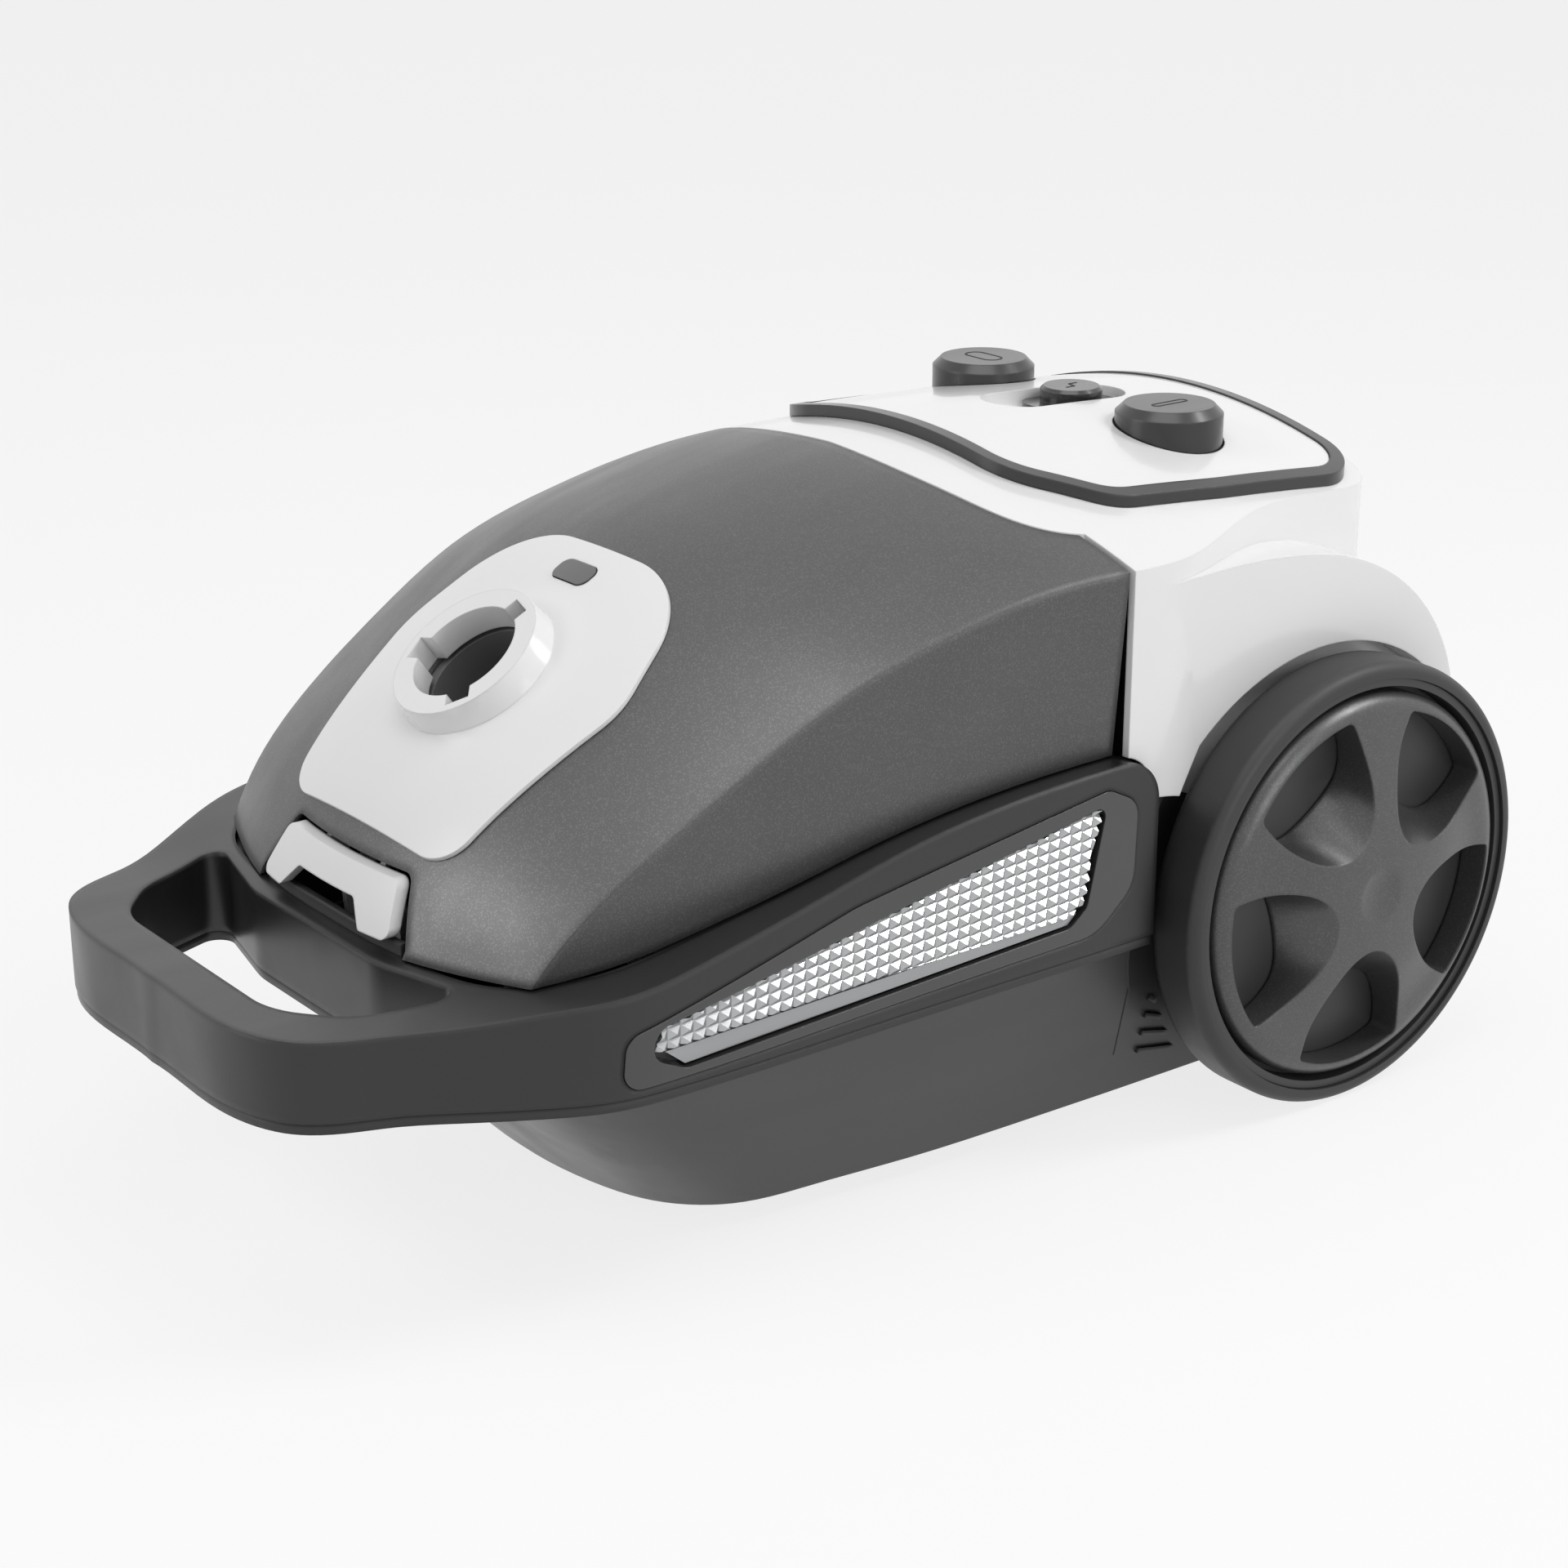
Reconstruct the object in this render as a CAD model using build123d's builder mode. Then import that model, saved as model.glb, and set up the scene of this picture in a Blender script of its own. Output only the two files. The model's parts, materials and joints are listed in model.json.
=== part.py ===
from build123d import *

import os
from math import cos, degrees, hypot, radians, sin

# Bagged canister vacuum cleaner: two large rear wheels, a front caster, a hinged lid over the
# dust chamber and a motor and cord reel behind it.
# Frame in millimetres: +Z up, nose towards -Y, origin on the floor under the middle.

# ---------------------------------------------------------------- driving dimensions
wall = 2.6  # moulded shell thickness
seam = 0.8  # shut line between two shells
gap = 0.3  # clearance between neighbouring pieces
run_gap = 0.06  # radial clearance of a shaft in its bore

# Overall
nose_y = -252.0  # front of the handle
half_width = 126.0  # bumper
floor_gap = 9.0  # tub bottom above the floor

# Rear wheels
wheel_radius = 85.0
wheel_width = 24.0
wheel_face_x = 141.5  # outer face of the hubcap
wheel_y = 167.0
axle_radius = 5.0
rim_radius = 79.0  # seat of the tyre
hubcap_radius = 73.8
hub_dome = 9.5  # bulge of the hubcap over its edge
hub_radius = 15.0
well_clearance = 3.0  # wheel arch outside the tyre
well_wall_x = 106.0  # inner wall of the wheel arch

# Crowned top of lid and housing: side profile on the centre line and its fall to the sides
crown = 0.0019  # fall per square millimetre of x
top_profile = [
    (-197, 98), (-190, 113), (-171, 146), (-145, 172), (-108, 199), (-69, 222), (-20, 238),
    (25, 246), (62, 247), (100, 246.3), (146, 244.5), (208, 240), (245, 236),
]
top_span = 132.0

# Flank: x of the side wall against y, at the crease, leaning inwards below it
flank_profile = [
    (84, -216), (102, -176), (109, -151), (113.5, -126), (116.5, -99), (119.4, -58),
    (120.7, -18), (121.2, 21), (121.5, 62), (121.5, 120), (121.5, 200), (120.5, 232),
    (116.5, 247), (108, 253),
]
crease_level = 217.0
flank_lean = 0.07

# Lid
lid_edge_y = 27.0  # rear edge on the centre line
lid_edge_half = 62.0  # straight part of the rear edge
lid_corner = (100.0, 58.0)
lid_side_y = 62.0
lid_rear_seam = 1.1
lid_swing_room = 1.6  # added behind the lid's rear corners, which swing back as it opens
lid_lap_lean = 1.0  # the rear edge overlaps the housing at 45 degrees
hinge_y, hinge_z = 66.0, 220.0
hinge_pin_radius = 2.0
hinge_arm_x = 97.0
hinge_arm_width = 4.0
notch_half_top, notch_half_bottom = 37.0, 48.0
notch_top_z = 139.0

# Inlet
inlet_y, inlet_z = -124.0, 192.0
inlet_tilt = 36.0  # degrees from vertical towards the nose
inlet_radius = 20.0
collar_radius = 28.0
collar_height = 6.5
socket_depth = 34.0
panel_raise = 1.6

# Bumper ring and handle
bumper_top = [
    (-268, 112), (-230, 112), (-200, 112.5), (-171, 116.5), (-140, 120), (-109, 126.5), (-76, 134),
    (-42, 142), (-7, 147.5), (29, 150.5), (60, 151.5), (110, 151.8),
]
bumper_bottom_z = 84.5
bumper_rear_y = 76.0
base_thickness = 3.4  # lower handle shell
bumper_plan = [
    (0, nose_y), (40, nose_y), (62, nose_y + 3.5), (76, nose_y + 11), (84, nose_y + 22),
    (90, nose_y + 37), (102, nose_y + 58), (115, nose_y + 80), (123, nose_y + 98),
    (half_width, nose_y + 122),
]
opening_corners = [(50, nose_y + 18), (70, nose_y + 35), (83, nose_y + 71), (40, nose_y + 61.5)]
opening_radii = [30, 30, 6, 40]
screw_places = [(30, nose_y + 8), (81, nose_y + 38), (111, nose_y + 92)]

# Tub
tub_floor_plan = [
    (0, -112), (20, -111.2), (40, -108), (68, -97), (83, -79), (89, -47), (93, -10), (95.5, 40), (97, 110),
    (98, 165), (94, 205), (75, 225), (40, 231.5), (0, 232),
]
tub_waist_plan = [
    (0, -184), (28, -183.6), (55, -181), (90, -170), (103, -150), (108, -122), (111, -88), (113, -30),
    (113.8, 40), (114, 140), (109, 210), (85, 238), (45, 245.4), (0, 246),
]
waist_level = 86.0

# Rear housing and its shoulders over the wheels
shoulder_profile = [
    (20, 210), (70, 213), (110, 215), (150, 213), (180, 206), (205, 193), (228, 171), (244, 143),
    (250.5, 118), (251, 90),
]
shoulder_crown = 0.0002
neck_plan = [
    (121.2, 10), (121.5, 70), (119, 96), (109, 124), (101.5, 148), (98.5, 172), (97.5, 192),
    (93, 207), (80, 213.5), (62, 214.5),
]
split_profile = [(20, 135), (60, 134.5), (90, 131.5), (110, 124), (128, 118), (150, 115), (260, 113)]

# Control panel
panel_plan = [(62, 56), (91, 84), (94.5, 132), (96, 209)]
panel_corner_radii = [34, 24, 60, 24]
band_width = 5.5
band_height = 4.6
pedal_x, pedal_y = 52.0, 146.0
pedal_radius = 20.0
pedal_top_z = 253.5
pedal_travel = 4.5
slot_half = 14.0
slot_front_y, slot_rear_y = 104.0, 168.0
slot_depth = 5.5

# Side lights
bezel_corners = [
    (-151, 87), (-149.5, 105), (-60, 128), (52, 144), (66, 137), (65, 106), (48, 91.5),
]
bezel_radii = [6, 7, 60, 8, 9, 14, 20]
lens_corners = [(-142, 97), (-137, 106), (51, 138.5), (43, 103), (36, 97), (-128, 90.5)]
lens_radii = [5.5, 6, 3, 5, 6, 8]
light_depth = 8.0
lens_thickness = 3.4

# Works
bulkhead_y = 72.0
bulkhead_thickness = 3.0
motor_x, motor_z = 30.0, 96.0
motor_radius = 52.0
motor_length = 108.0
shaft_radius = 4.0
reel_x, reel_y, reel_z = -56.0, 158.0, 92.0
reel_radius = 66.0
reel_width = 44.0
reel_axle_radius = 6.0
caster_y = -66.0
caster_radius = 19.0
caster_width = 15.0
caster_trail = 11.0
caster_stem_radius = 5.0

# ---------------------------------------------------------------- derived sizes
wheel_inner_x = wheel_face_x - wheel_width
wheel_z = wheel_radius
well_radius = wheel_radius + well_clearance
inlet_plane = Plane(
    origin=(0, inlet_y, inlet_z),
    x_dir=(1, 0, 0),
    z_dir=(0, -sin(radians(inlet_tilt)), cos(radians(inlet_tilt))),
)


# ---------------------------------------------------------------- shape helpers
def inset_chain(chain, amount):
    """Move a (y, z) chain, running from nose to tail, inwards along its own normals."""
    moved = []
    for index, (y, z) in enumerate(chain):
        before = chain[max(index - 1, 0)]
        after = chain[min(index + 1, len(chain) - 1)]
        dy, dz = after[0] - before[0], after[1] - before[1]
        run = hypot(dy, dz)
        moved.append((y + amount * dz / run, z - amount * dy / run))
    return moved


def crowned_block(chain, inset=0.0, fall=crown, base=0.0):
    """Solid under a side profile that falls by fall * x**2 towards both sides."""
    with BuildPart() as block:
        for share in (-1, -0.5, 0, 0.5, 1):
            x = share * top_span
            points = inset_chain(chain, inset + fall * x * x)
            with BuildSketch(Plane.YZ.offset(x)):
                with BuildLine():
                    top = Spline(*points)
                    Polyline(top @ 1, (points[-1][0], base), (points[0][0], base), top @ 0)
                make_face()
        loft()
    return block.part


def profile_block(chain, base, half=160.0):
    """Solid under a side profile, straight across the machine."""
    with BuildPart() as block:
        with BuildSketch(Plane.YZ.offset(-half)):
            with BuildLine():
                top = Spline(*chain)
                Polyline(top @ 1, (chain[-1][0], base), (chain[0][0], base), top @ 0)
            make_face()
        extrude(amount=2 * half)
    return block.part


def plan_face(points, level, inset=0.0, shift=0.0):
    """Closed plan outline from its +X half, mirrored, on the plane z = level."""
    half = [(max(x - inset + shift, 0) if x > 0 else 0, y) for x, y in points]
    with BuildSketch(Plane.XY.offset(level)) as plan:
        with BuildLine():
            right = Spline(*half)
            left = Spline(*[(-x, y) for x, y in reversed(half)])
            if half[-1][0] > 0:
                Line(right @ 1, left @ 0)
            if half[0][0] > 0:
                Line(left @ 1, right @ 0)
        make_face()
    return plan.sketch


def shrink_plan(points, amount):
    """Offset the +X half of a plan outline inwards along its own normals."""
    moved = []
    for index, (x, y) in enumerate(points):
        before = points[max(index - 1, 0)]
        after = points[min(index + 1, len(points) - 1)]
        dx, dy = after[0] - before[0], after[1] - before[1]
        run = hypot(dx, dy)
        moved.append((x - amount * dy / run if x > 0 else 0, y + amount * dx / run))
    return moved


def plan_block(points, low, high):
    """Straight-sided solid over a mirrored plan outline."""
    with BuildPart() as block:
        add(plan_face(points, low))
        extrude(amount=high - low)
    return block.part


def flank_block(inset=0.0, low=60.0, high=270.0):
    """Solid between the leaning side walls of the machine."""
    with BuildPart() as block:
        for level in (low, high):
            lean = flank_lean * (level - crease_level)
            add(plan_face(flank_profile, level, inset, lean))
        loft(ruled=True)
    return block.part


def tub_block(inset=0.0, low=floor_gap, high=160.0):
    """Boat-shaped tub: floor outline lofted up to the waist, then straight walls."""
    waist = shrink_plan(tub_waist_plan, inset)
    with BuildPart() as block:
        add(plan_face(shrink_plan(tub_floor_plan, inset), low))
        add(plan_face(waist, waist_level))
        loft(ruled=True)
        add(plan_block(waist, waist_level, high))
    return block.part


def outline_block(corners, radii, plane, depth, grow=0.0):
    """Prism over a closed outline with rounded corners."""
    with BuildPart() as block:
        with BuildSketch(plane):
            with BuildLine():
                FilletPolyline(*corners, radius=radii, close=True)
            make_face()
            if grow:
                offset(amount=grow, kind=Kind.INTERSECTION)
        extrude(amount=depth)
    return block.part


def mirrored(corners):
    """Close a +X list of corners with its mirror image."""
    return list(corners) + [(-x, y) for x, y in reversed(corners)]


def save(part, name):
    """Label a finished piece and write it to its own file."""
    part.label = name
    export_step(part, f"parts/{name}.step")


os.makedirs("parts", exist_ok=True)

# ---------------------------------------------------------------- envelopes
skin = crowned_block(top_profile)
skin_inner = crowned_block(top_profile, inset=wall)
flank = flank_block()
flank_inner = flank_block(inset=wall)
under_bumper_top = profile_block(bumper_top, base=0.0)
seat_lift = 0.2  # trim pieces stand this far off the skin
seat = crowned_block(top_profile, inset=-seat_lift)
skin_inner_clear = crowned_block(top_profile, inset=wall + seat_lift)


# ---------------------------------------------------------------- lid
def lid_edge(reach):
    """+X half of the lid's rear shut line, moved back by reach."""
    corner_x, corner_y = lid_corner
    return [
        (0, lid_edge_y + reach), (lid_edge_half * 0.55, lid_edge_y + reach),
        (lid_edge_half, lid_edge_y + 4.5 + reach), (corner_x - 13, corner_y - 17 + reach),
        (corner_x, corner_y + reach),
    ]


def lid_room(reach, corner_room=0.0):
    """Space in front of the shut line, with some more at its outer ends."""
    side_y = lid_side_y + reach + corner_room
    *half, (corner_x, corner_y) = lid_edge(reach)
    half.append((corner_x, corner_y + corner_room))
    with BuildPart() as room:
        with BuildSketch():
            with BuildLine():
                right = Spline(*half)
                left = Spline(*[(-x, y) for x, y in reversed(half)])
                Polyline(
                    right @ 1, (flank_profile[8][0], side_y), (150, side_y), (150, -280),
                    (-150, -280), (-150, side_y), (-flank_profile[8][0], side_y), left @ 0,
                )
            make_face()
        extrude(amount=280)
    return room.part


def lap_cutter():
    """Wedge behind the slanted lap under the lid's rear edge."""
    level = top_profile[7][1]
    half = [(x, y + lid_lap_lean * crown * x * x) for x, y in lid_edge(0)]
    with BuildPart() as cutter:
        with BuildSketch(Plane.XY.offset(level)):
            with BuildLine():
                right = Spline(*half)
                left = Spline(*[(-x, y) for x, y in reversed(half)])
                Polyline(right @ 1, (half[-1][0], 170), (-half[-1][0], 170), left @ 0)
            make_face()
        extrude(amount=60, dir=(0, -lid_lap_lean, -1))
    return cutter.part


front_of_lid_edge = lid_room(0)
front_of_housing_edge = lid_room(lid_rear_seam, lid_swing_room)
lap = lap_cutter()
inlet_hole = Part() + inlet_plane * Cylinder(
    collar_radius - 4 + gap, 80, align=(Align.CENTER, Align.CENTER, Align.CENTER)
)
notch_corners = mirrored([
    (notch_half_bottom, 96), (notch_half_bottom - 0.5, 118), (notch_half_top, notch_top_z),
])
latch_notch = outline_block(notch_corners, [0, 0, 5, 5, 0, 0], Plane.XZ.offset(150), 60)
panel_corners = mirrored([(50, -65), (66, 10), (50, 62)])
panel_radii = [16, 34, 40, 40, 34, 16]
panel_prism = outline_block(panel_corners, panel_radii, inlet_plane.offset(-40), 80)
window_corners = mirrored([(10, 43), (10, 53)])
window_prism = outline_block(window_corners, [4, 4, 4, 4], inlet_plane.offset(-40), 80)
flag_slot = outline_block(mirrored([(6, 44.5), (6, 51.5)]), [1, 1, 1, 1], inlet_plane.offset(-40), 80)


def cut_block(corners, low, high):
    """Plain box from two opposite plan corners and two levels."""
    (x0, y0), (x1, y1) = corners
    return Pos((x0 + x1) / 2, (y0 + y1) / 2, (low + high) / 2) * Box(
        abs(x1 - x0), abs(y1 - y0), high - low, mode=Mode.PRIVATE
    )


def local_box(x, y, z, size, plane=inlet_plane, turn=0.0):
    """Box of the given size centred at a place in a plane's own axes."""
    return plane * Rot(0, 0, turn) * Pos(x, y, z) * Box(*size, mode=Mode.PRIVATE)


def side_plate(points, thickness, width, x, bosses=()):
    """Flat lever or rib: a band of the given width along (y, z) points, centred on x."""
    with BuildPart() as plate:
        with BuildSketch(Plane.YZ.offset(x - thickness / 2)):
            with BuildLine():
                Polyline(*points)
            trace(line_width=width)
            for y, z, radius in bosses:
                with Locations((y, z)):
                    Circle(radius)
        extrude(amount=thickness)
    return plate.part


def rod(radius, x0, x1, y, z):
    """Round bar along X between x0 and x1."""
    return Plane.YZ.offset(min(x0, x1)) * Pos(y, z, 0) * Cylinder(
        radius, abs(x1 - x0), align=(Align.CENTER, Align.CENTER, Align.MIN), mode=Mode.PRIVATE
    )


def post(radius, x, y, low, high):
    """Round bar along Z between two levels."""
    return Pos(x, y, low) * Cylinder(
        radius, high - low, align=(Align.CENTER, Align.CENTER, Align.MIN), mode=Mode.PRIVATE
    )


def barrel(radius, x, z, y0, y1):
    """Round bar along Y between y0 and y1."""
    return Pos(x, y0, z) * Rot(-90, 0, 0) * Cylinder(
        radius, y1 - y0, align=(Align.CENTER, Align.CENTER, Align.MIN), mode=Mode.PRIVATE
    )


def both_sides(shape):
    """A +X shape and its mirror image on the other side."""
    return Part() + shape + shape.mirror(Plane.YZ)


latch_pivot = (-168.5, 136.0)  # y, z of the latch pin
latch_clearance = 1.6  # between the latch and its notch
latch_arm_x = 17.5
latch_ear_x = 21.5
latch_pin_radius = 2.0
hinge_arm_path = [
    (hinge_y, hinge_z), (hinge_y - 8, hinge_z - 14), (hinge_y - 20, hinge_z - 14),
    (hinge_y - 23, hinge_z + 6.5),
]

flag_width, flag_length, flag_travel = 12.0, 9.0, 10.5
flag_level = -14.5
with BuildPart() as flag_case:
    add(local_box(0, 53, -11.8, (20, 32, 13.4)))
    add(skin, mode=Mode.INTERSECT)
    add(local_box(0, 53, flag_level, (flag_width + 0.8, 26, 4)), mode=Mode.SUBTRACT)
    add(flag_slot, mode=Mode.SUBTRACT)
    add(local_box(0, 53, flag_level - 3, (8, 20, 8)), mode=Mode.SUBTRACT)

recess_wall = cut_block([(-15.6, latch_pivot[0] + 5), (15.6, latch_pivot[0] + 6.8)], 112, 156)

with BuildPart() as lid:
    add(skin)
    add(flank, mode=Mode.INTERSECT)
    add(front_of_lid_edge, mode=Mode.INTERSECT)
    add(profile_block([(y, z + seam) for y, z in bumper_top], base=0.0), mode=Mode.SUBTRACT)
    add(skin_inner & flank_inner, mode=Mode.SUBTRACT)
    add(lap, mode=Mode.SUBTRACT)
    add(latch_notch, mode=Mode.SUBTRACT)
    add(recess_wall & skin)
    for side in (-1, 1):
        add(side_plate(hinge_arm_path, hinge_arm_width, 6, side * hinge_arm_x,
                       [(hinge_y, hinge_z, 4.4)]))
        ear = side_plate([latch_pivot, (latch_pivot[0], 156)], 2.5, 9, side * latch_ear_x,
                         [(*latch_pivot, 4.5)])
        add(ear & skin)
    add(rod(hinge_pin_radius + run_gap, -110, 110, hinge_y, hinge_z), mode=Mode.SUBTRACT)
    add(rod(latch_pin_radius + run_gap, -30, 30, *latch_pivot), mode=Mode.SUBTRACT)
    add(inlet_hole, mode=Mode.SUBTRACT)
    add(flag_case.part)
    add(flag_slot, mode=Mode.SUBTRACT)
save(lid.part, "lid")

# Raised white panel around the inlet, with its collar and the window of the full-bag flag
bayonet_slots = Part() + [
    local_box(inlet_radius + 1.2, 0, 0, (7, 9, 60), turn=angle) for angle in (75, 195, 315)
]
with BuildPart() as inlet_panel:
    add(crowned_block(top_profile, inset=-panel_raise))
    add(panel_prism, mode=Mode.INTERSECT)
    with BuildSketch(inlet_plane.offset(-6)):
        Circle(collar_radius + 2)
    extrude(amount=collar_height + 6, taper=9)
    add(seat, mode=Mode.SUBTRACT)
    with BuildSketch(inlet_plane.offset(collar_height)):
        Circle(inlet_radius)
    extrude(amount=-30, mode=Mode.SUBTRACT)
    add(bayonet_slots, mode=Mode.SUBTRACT)
    add(window_prism, mode=Mode.SUBTRACT)
save(inlet_panel.part, "inlet_panel")

with BuildPart() as inlet_socket:
    tube_top = -5.6
    with BuildSketch(inlet_plane.offset(tube_top)):
        Circle(collar_radius - 4)
        Circle(inlet_radius, mode=Mode.SUBTRACT)
    extrude(amount=-socket_depth - tube_top)
    with BuildSketch(inlet_plane.offset(-9.4)):
        Circle(collar_radius + 3)
        Circle(inlet_radius, mode=Mode.SUBTRACT)
    extrude(amount=-2.5)
save(inlet_socket.part, "inlet_socket")

with BuildPart() as inlet_seal:
    with BuildSketch(inlet_plane.offset(-socket_depth - 0.1)):
        Circle(collar_radius - 4)
        Circle(inlet_radius, mode=Mode.SUBTRACT)
    extrude(amount=-3)
save(inlet_seal.part, "inlet_seal")

with BuildPart() as window:
    add(crowned_block(top_profile, inset=-panel_raise - 0.5))
    add(outline_block(mirrored([(10 - gap, 43 + gap), (10 - gap, 53 - gap)]), [3.7] * 4,
                      inlet_plane.offset(-40), 80), mode=Mode.INTERSECT)
    add(seat, mode=Mode.SUBTRACT)
save(window.part, "bag_full_window")

with BuildPart() as flag:
    add(local_box(0, 59.5, flag_level, (flag_width, flag_length, 3.4)))
save(flag.part, "bag_full_flag")

# Latch: a lever hung on a pin behind the notch, hooked under a keeper on the tub
keeper_level = 106.0
keeper_front_y, keeper_depth = -162.0, 5.5
keeper_cheek_x = 21.8
barb_thickness, barb_bite, barb_depth = 2.8, 2.0, 7.5
barb_rear_y = keeper_front_y + barb_bite
barb_top = keeper_level - 1.2
latch_foot_z = 119.5
latch_outline = [
    (18, 128), (26, latch_foot_z), (41.5, latch_foot_z),
    (notch_half_top - latch_clearance, notch_top_z - latch_clearance),
]
latch_boss_radius = 3.8
with BuildPart() as latch:
    add(crowned_block(top_profile, inset=-2.4))
    add(outline_block(mirrored(latch_outline), [3, 2, 3, 5, 5, 3, 2, 3], Plane.XZ.offset(155), 60),
        mode=Mode.INTERSECT)
    add(crowned_block(top_profile, inset=1.6), mode=Mode.SUBTRACT)
    for side in (-1, 1):
        add(side_plate([(latch_pivot[0] - 11.5, latch_pivot[1] - 5), latch_pivot,
                        (barb_rear_y - barb_depth + 2.5, barb_top - barb_thickness)],
                       3, 4, side * latch_arm_x, [(*latch_pivot, latch_boss_radius)]))
    add(cut_block([(-19, barb_rear_y - barb_depth), (19, barb_rear_y)],
                  barb_top - barb_thickness, barb_top))
    add(rod(latch_pin_radius + run_gap, -30, 30, *latch_pivot), mode=Mode.SUBTRACT)
save(latch.part, "latch")

latch_pin = rod(latch_pin_radius, -23.4, 23.4, *latch_pivot)
save(latch_pin, "latch_pin")

latch_spring_outer, latch_spring_inner = 3.8, 2.8
latch_spring = Part() + [
    rod(latch_spring_outer, x, x + 1.2, *latch_pivot)
    - rod(latch_spring_inner, x, x + 1.2, *latch_pivot)
    for x in [2 + 1.6 * turn for turn in range(6)]
]
save(latch_spring, "latch_spring")

# ---------------------------------------------------------------- bumper ring and handle
bumper_outline = bumper_plan + [(half_width, -40), (half_width, 20), (half_width, bumper_rear_y)]


def bumper_ring(low, high, inset, grow_hole, tub_gap):
    """Ring around the machine: outer outline less the handle loop and the tub."""
    with BuildPart() as ring:
        add(plan_block(shrink_plan(bumper_outline, inset), low, high))
        add(outline_block(mirrored(opening_corners), opening_radii + opening_radii[::-1],
                          Plane.XY.offset(low - 1), high - low + 2, grow_hole),
            mode=Mode.SUBTRACT)
        add(plan_block(shrink_plan(tub_waist_plan, -tub_gap), low - 1, high + 1),
            mode=Mode.SUBTRACT)
    return ring.part


bezel_prism = outline_block(bezel_corners, bezel_radii, Plane.YZ.offset(half_width - 12), 20)
bezel_prism_clear = outline_block(bezel_corners, bezel_radii, Plane.YZ.offset(half_width - 12), 20,
                                  gap)
lens_prism = outline_block(lens_corners, lens_radii, Plane.YZ.offset(half_width - 12), 20)
lens_prism_clear = outline_block(lens_corners, lens_radii, Plane.YZ.offset(half_width - 12), 20, gap)

channel = bumper_ring(bumper_bottom_z - 1, 170, wall, wall, gap + wall) & profile_block(
    inset_chain(bumper_top, wall), base=0.0
)
with BuildPart() as bumper:
    add(bumper_ring(bumper_bottom_z, 170, 0, 0, gap))
    add(under_bumper_top, mode=Mode.INTERSECT)
    with BuildSketch(Plane.YZ.offset(-150)):
        with BuildLine():
            FilletPolyline((-300, 60), (bumper_rear_y, 60), (bumper_rear_y, 151.5), (-300, 151.5),
                           radius=[0, 0, 16, 0], close=True)
        make_face()
    extrude(amount=300, mode=Mode.INTERSECT)
    add(channel, mode=Mode.SUBTRACT)
    for x, y in screw_places:
        for side in (-1, 1):
            boss = post(4.0, side * x, y, bumper_bottom_z, bumper_bottom_z + 16)
            for half_x, half_y in ((20, 1.2), (1.2, 20)):
                boss += cut_block(
                    [(side * x - half_x, y - half_y), (side * x + half_x, y + half_y)],
                    bumper_bottom_z, bumper_bottom_z + 12,
                )
            add(boss & channel)
            add(post(2.0, side * x, y, bumper_bottom_z - 1, bumper_bottom_z + 14),
                mode=Mode.SUBTRACT)
    add(both_sides(bezel_prism_clear), mode=Mode.SUBTRACT)
save(bumper.part, "bumper_ring")

base_low = bumper_bottom_z - gap - base_thickness
with BuildPart() as handle_base:
    add(bumper_ring(base_low, bumper_bottom_z - gap, 0.5, 0.5, 2 * gap))
    add(cut_block([(-160, -300), (160, bumper_rear_y - 1)], 60, 100), mode=Mode.INTERSECT)
    for x, y in screw_places:
        for side in (-1, 1):
            add(post(2.2, side * x, y, base_low - 1, bumper_bottom_z), mode=Mode.SUBTRACT)
            add(post(4.0, side * x, y, base_low - 1, base_low + 1.8), mode=Mode.SUBTRACT)
save(handle_base.part, "handle_base")

handle_screws = Part() + [
    post(1.8, side * x, y, base_low + 0.1, bumper_bottom_z + 12)
    + post(3.6, side * x, y, base_low + 0.1, base_low + 1.6)
    for x, y in screw_places
    for side in (-1, 1)
]
save(handle_screws, "handle_screws")

# ---------------------------------------------------------------- side lights
with BuildPart() as bezel:
    add(bezel_prism)
    add(plan_block(shrink_plan(bumper_outline, -0.3), 80, 160), mode=Mode.INTERSECT)
    add(plan_block(shrink_plan(bumper_outline, light_depth), 79, 161), mode=Mode.SUBTRACT)
    pocket = plan_block(shrink_plan(bumper_outline, light_depth - 1.6), 79, 161)
    add(lens_prism_clear - pocket, mode=Mode.SUBTRACT)
with BuildPart() as lens:
    add(lens_prism)
    add(plan_block(shrink_plan(bumper_outline, -0.8), 80, 160), mode=Mode.INTERSECT)
    add(plan_block(shrink_plan(bumper_outline, lens_thickness - 0.8), 79, 161),
        mode=Mode.SUBTRACT)
strip_outline = [(-132, 98.5), (40, 106), (40, 112), (-132, 104.5)]
with BuildPart() as light_strip:
    add(outline_block(strip_outline, [1] * 4, Plane.YZ.offset(half_width - 12), 20))
    add(plan_block(shrink_plan(bumper_outline, lens_thickness + 0.4), 80, 160),
        mode=Mode.INTERSECT)
    add(plan_block(shrink_plan(bumper_outline, light_depth - 1.7), 79, 161),
        mode=Mode.SUBTRACT)
save(both_sides(bezel.part), "light_bezels")
save(both_sides(lens.part) + both_sides(light_strip.part), "light_lenses")

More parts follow.
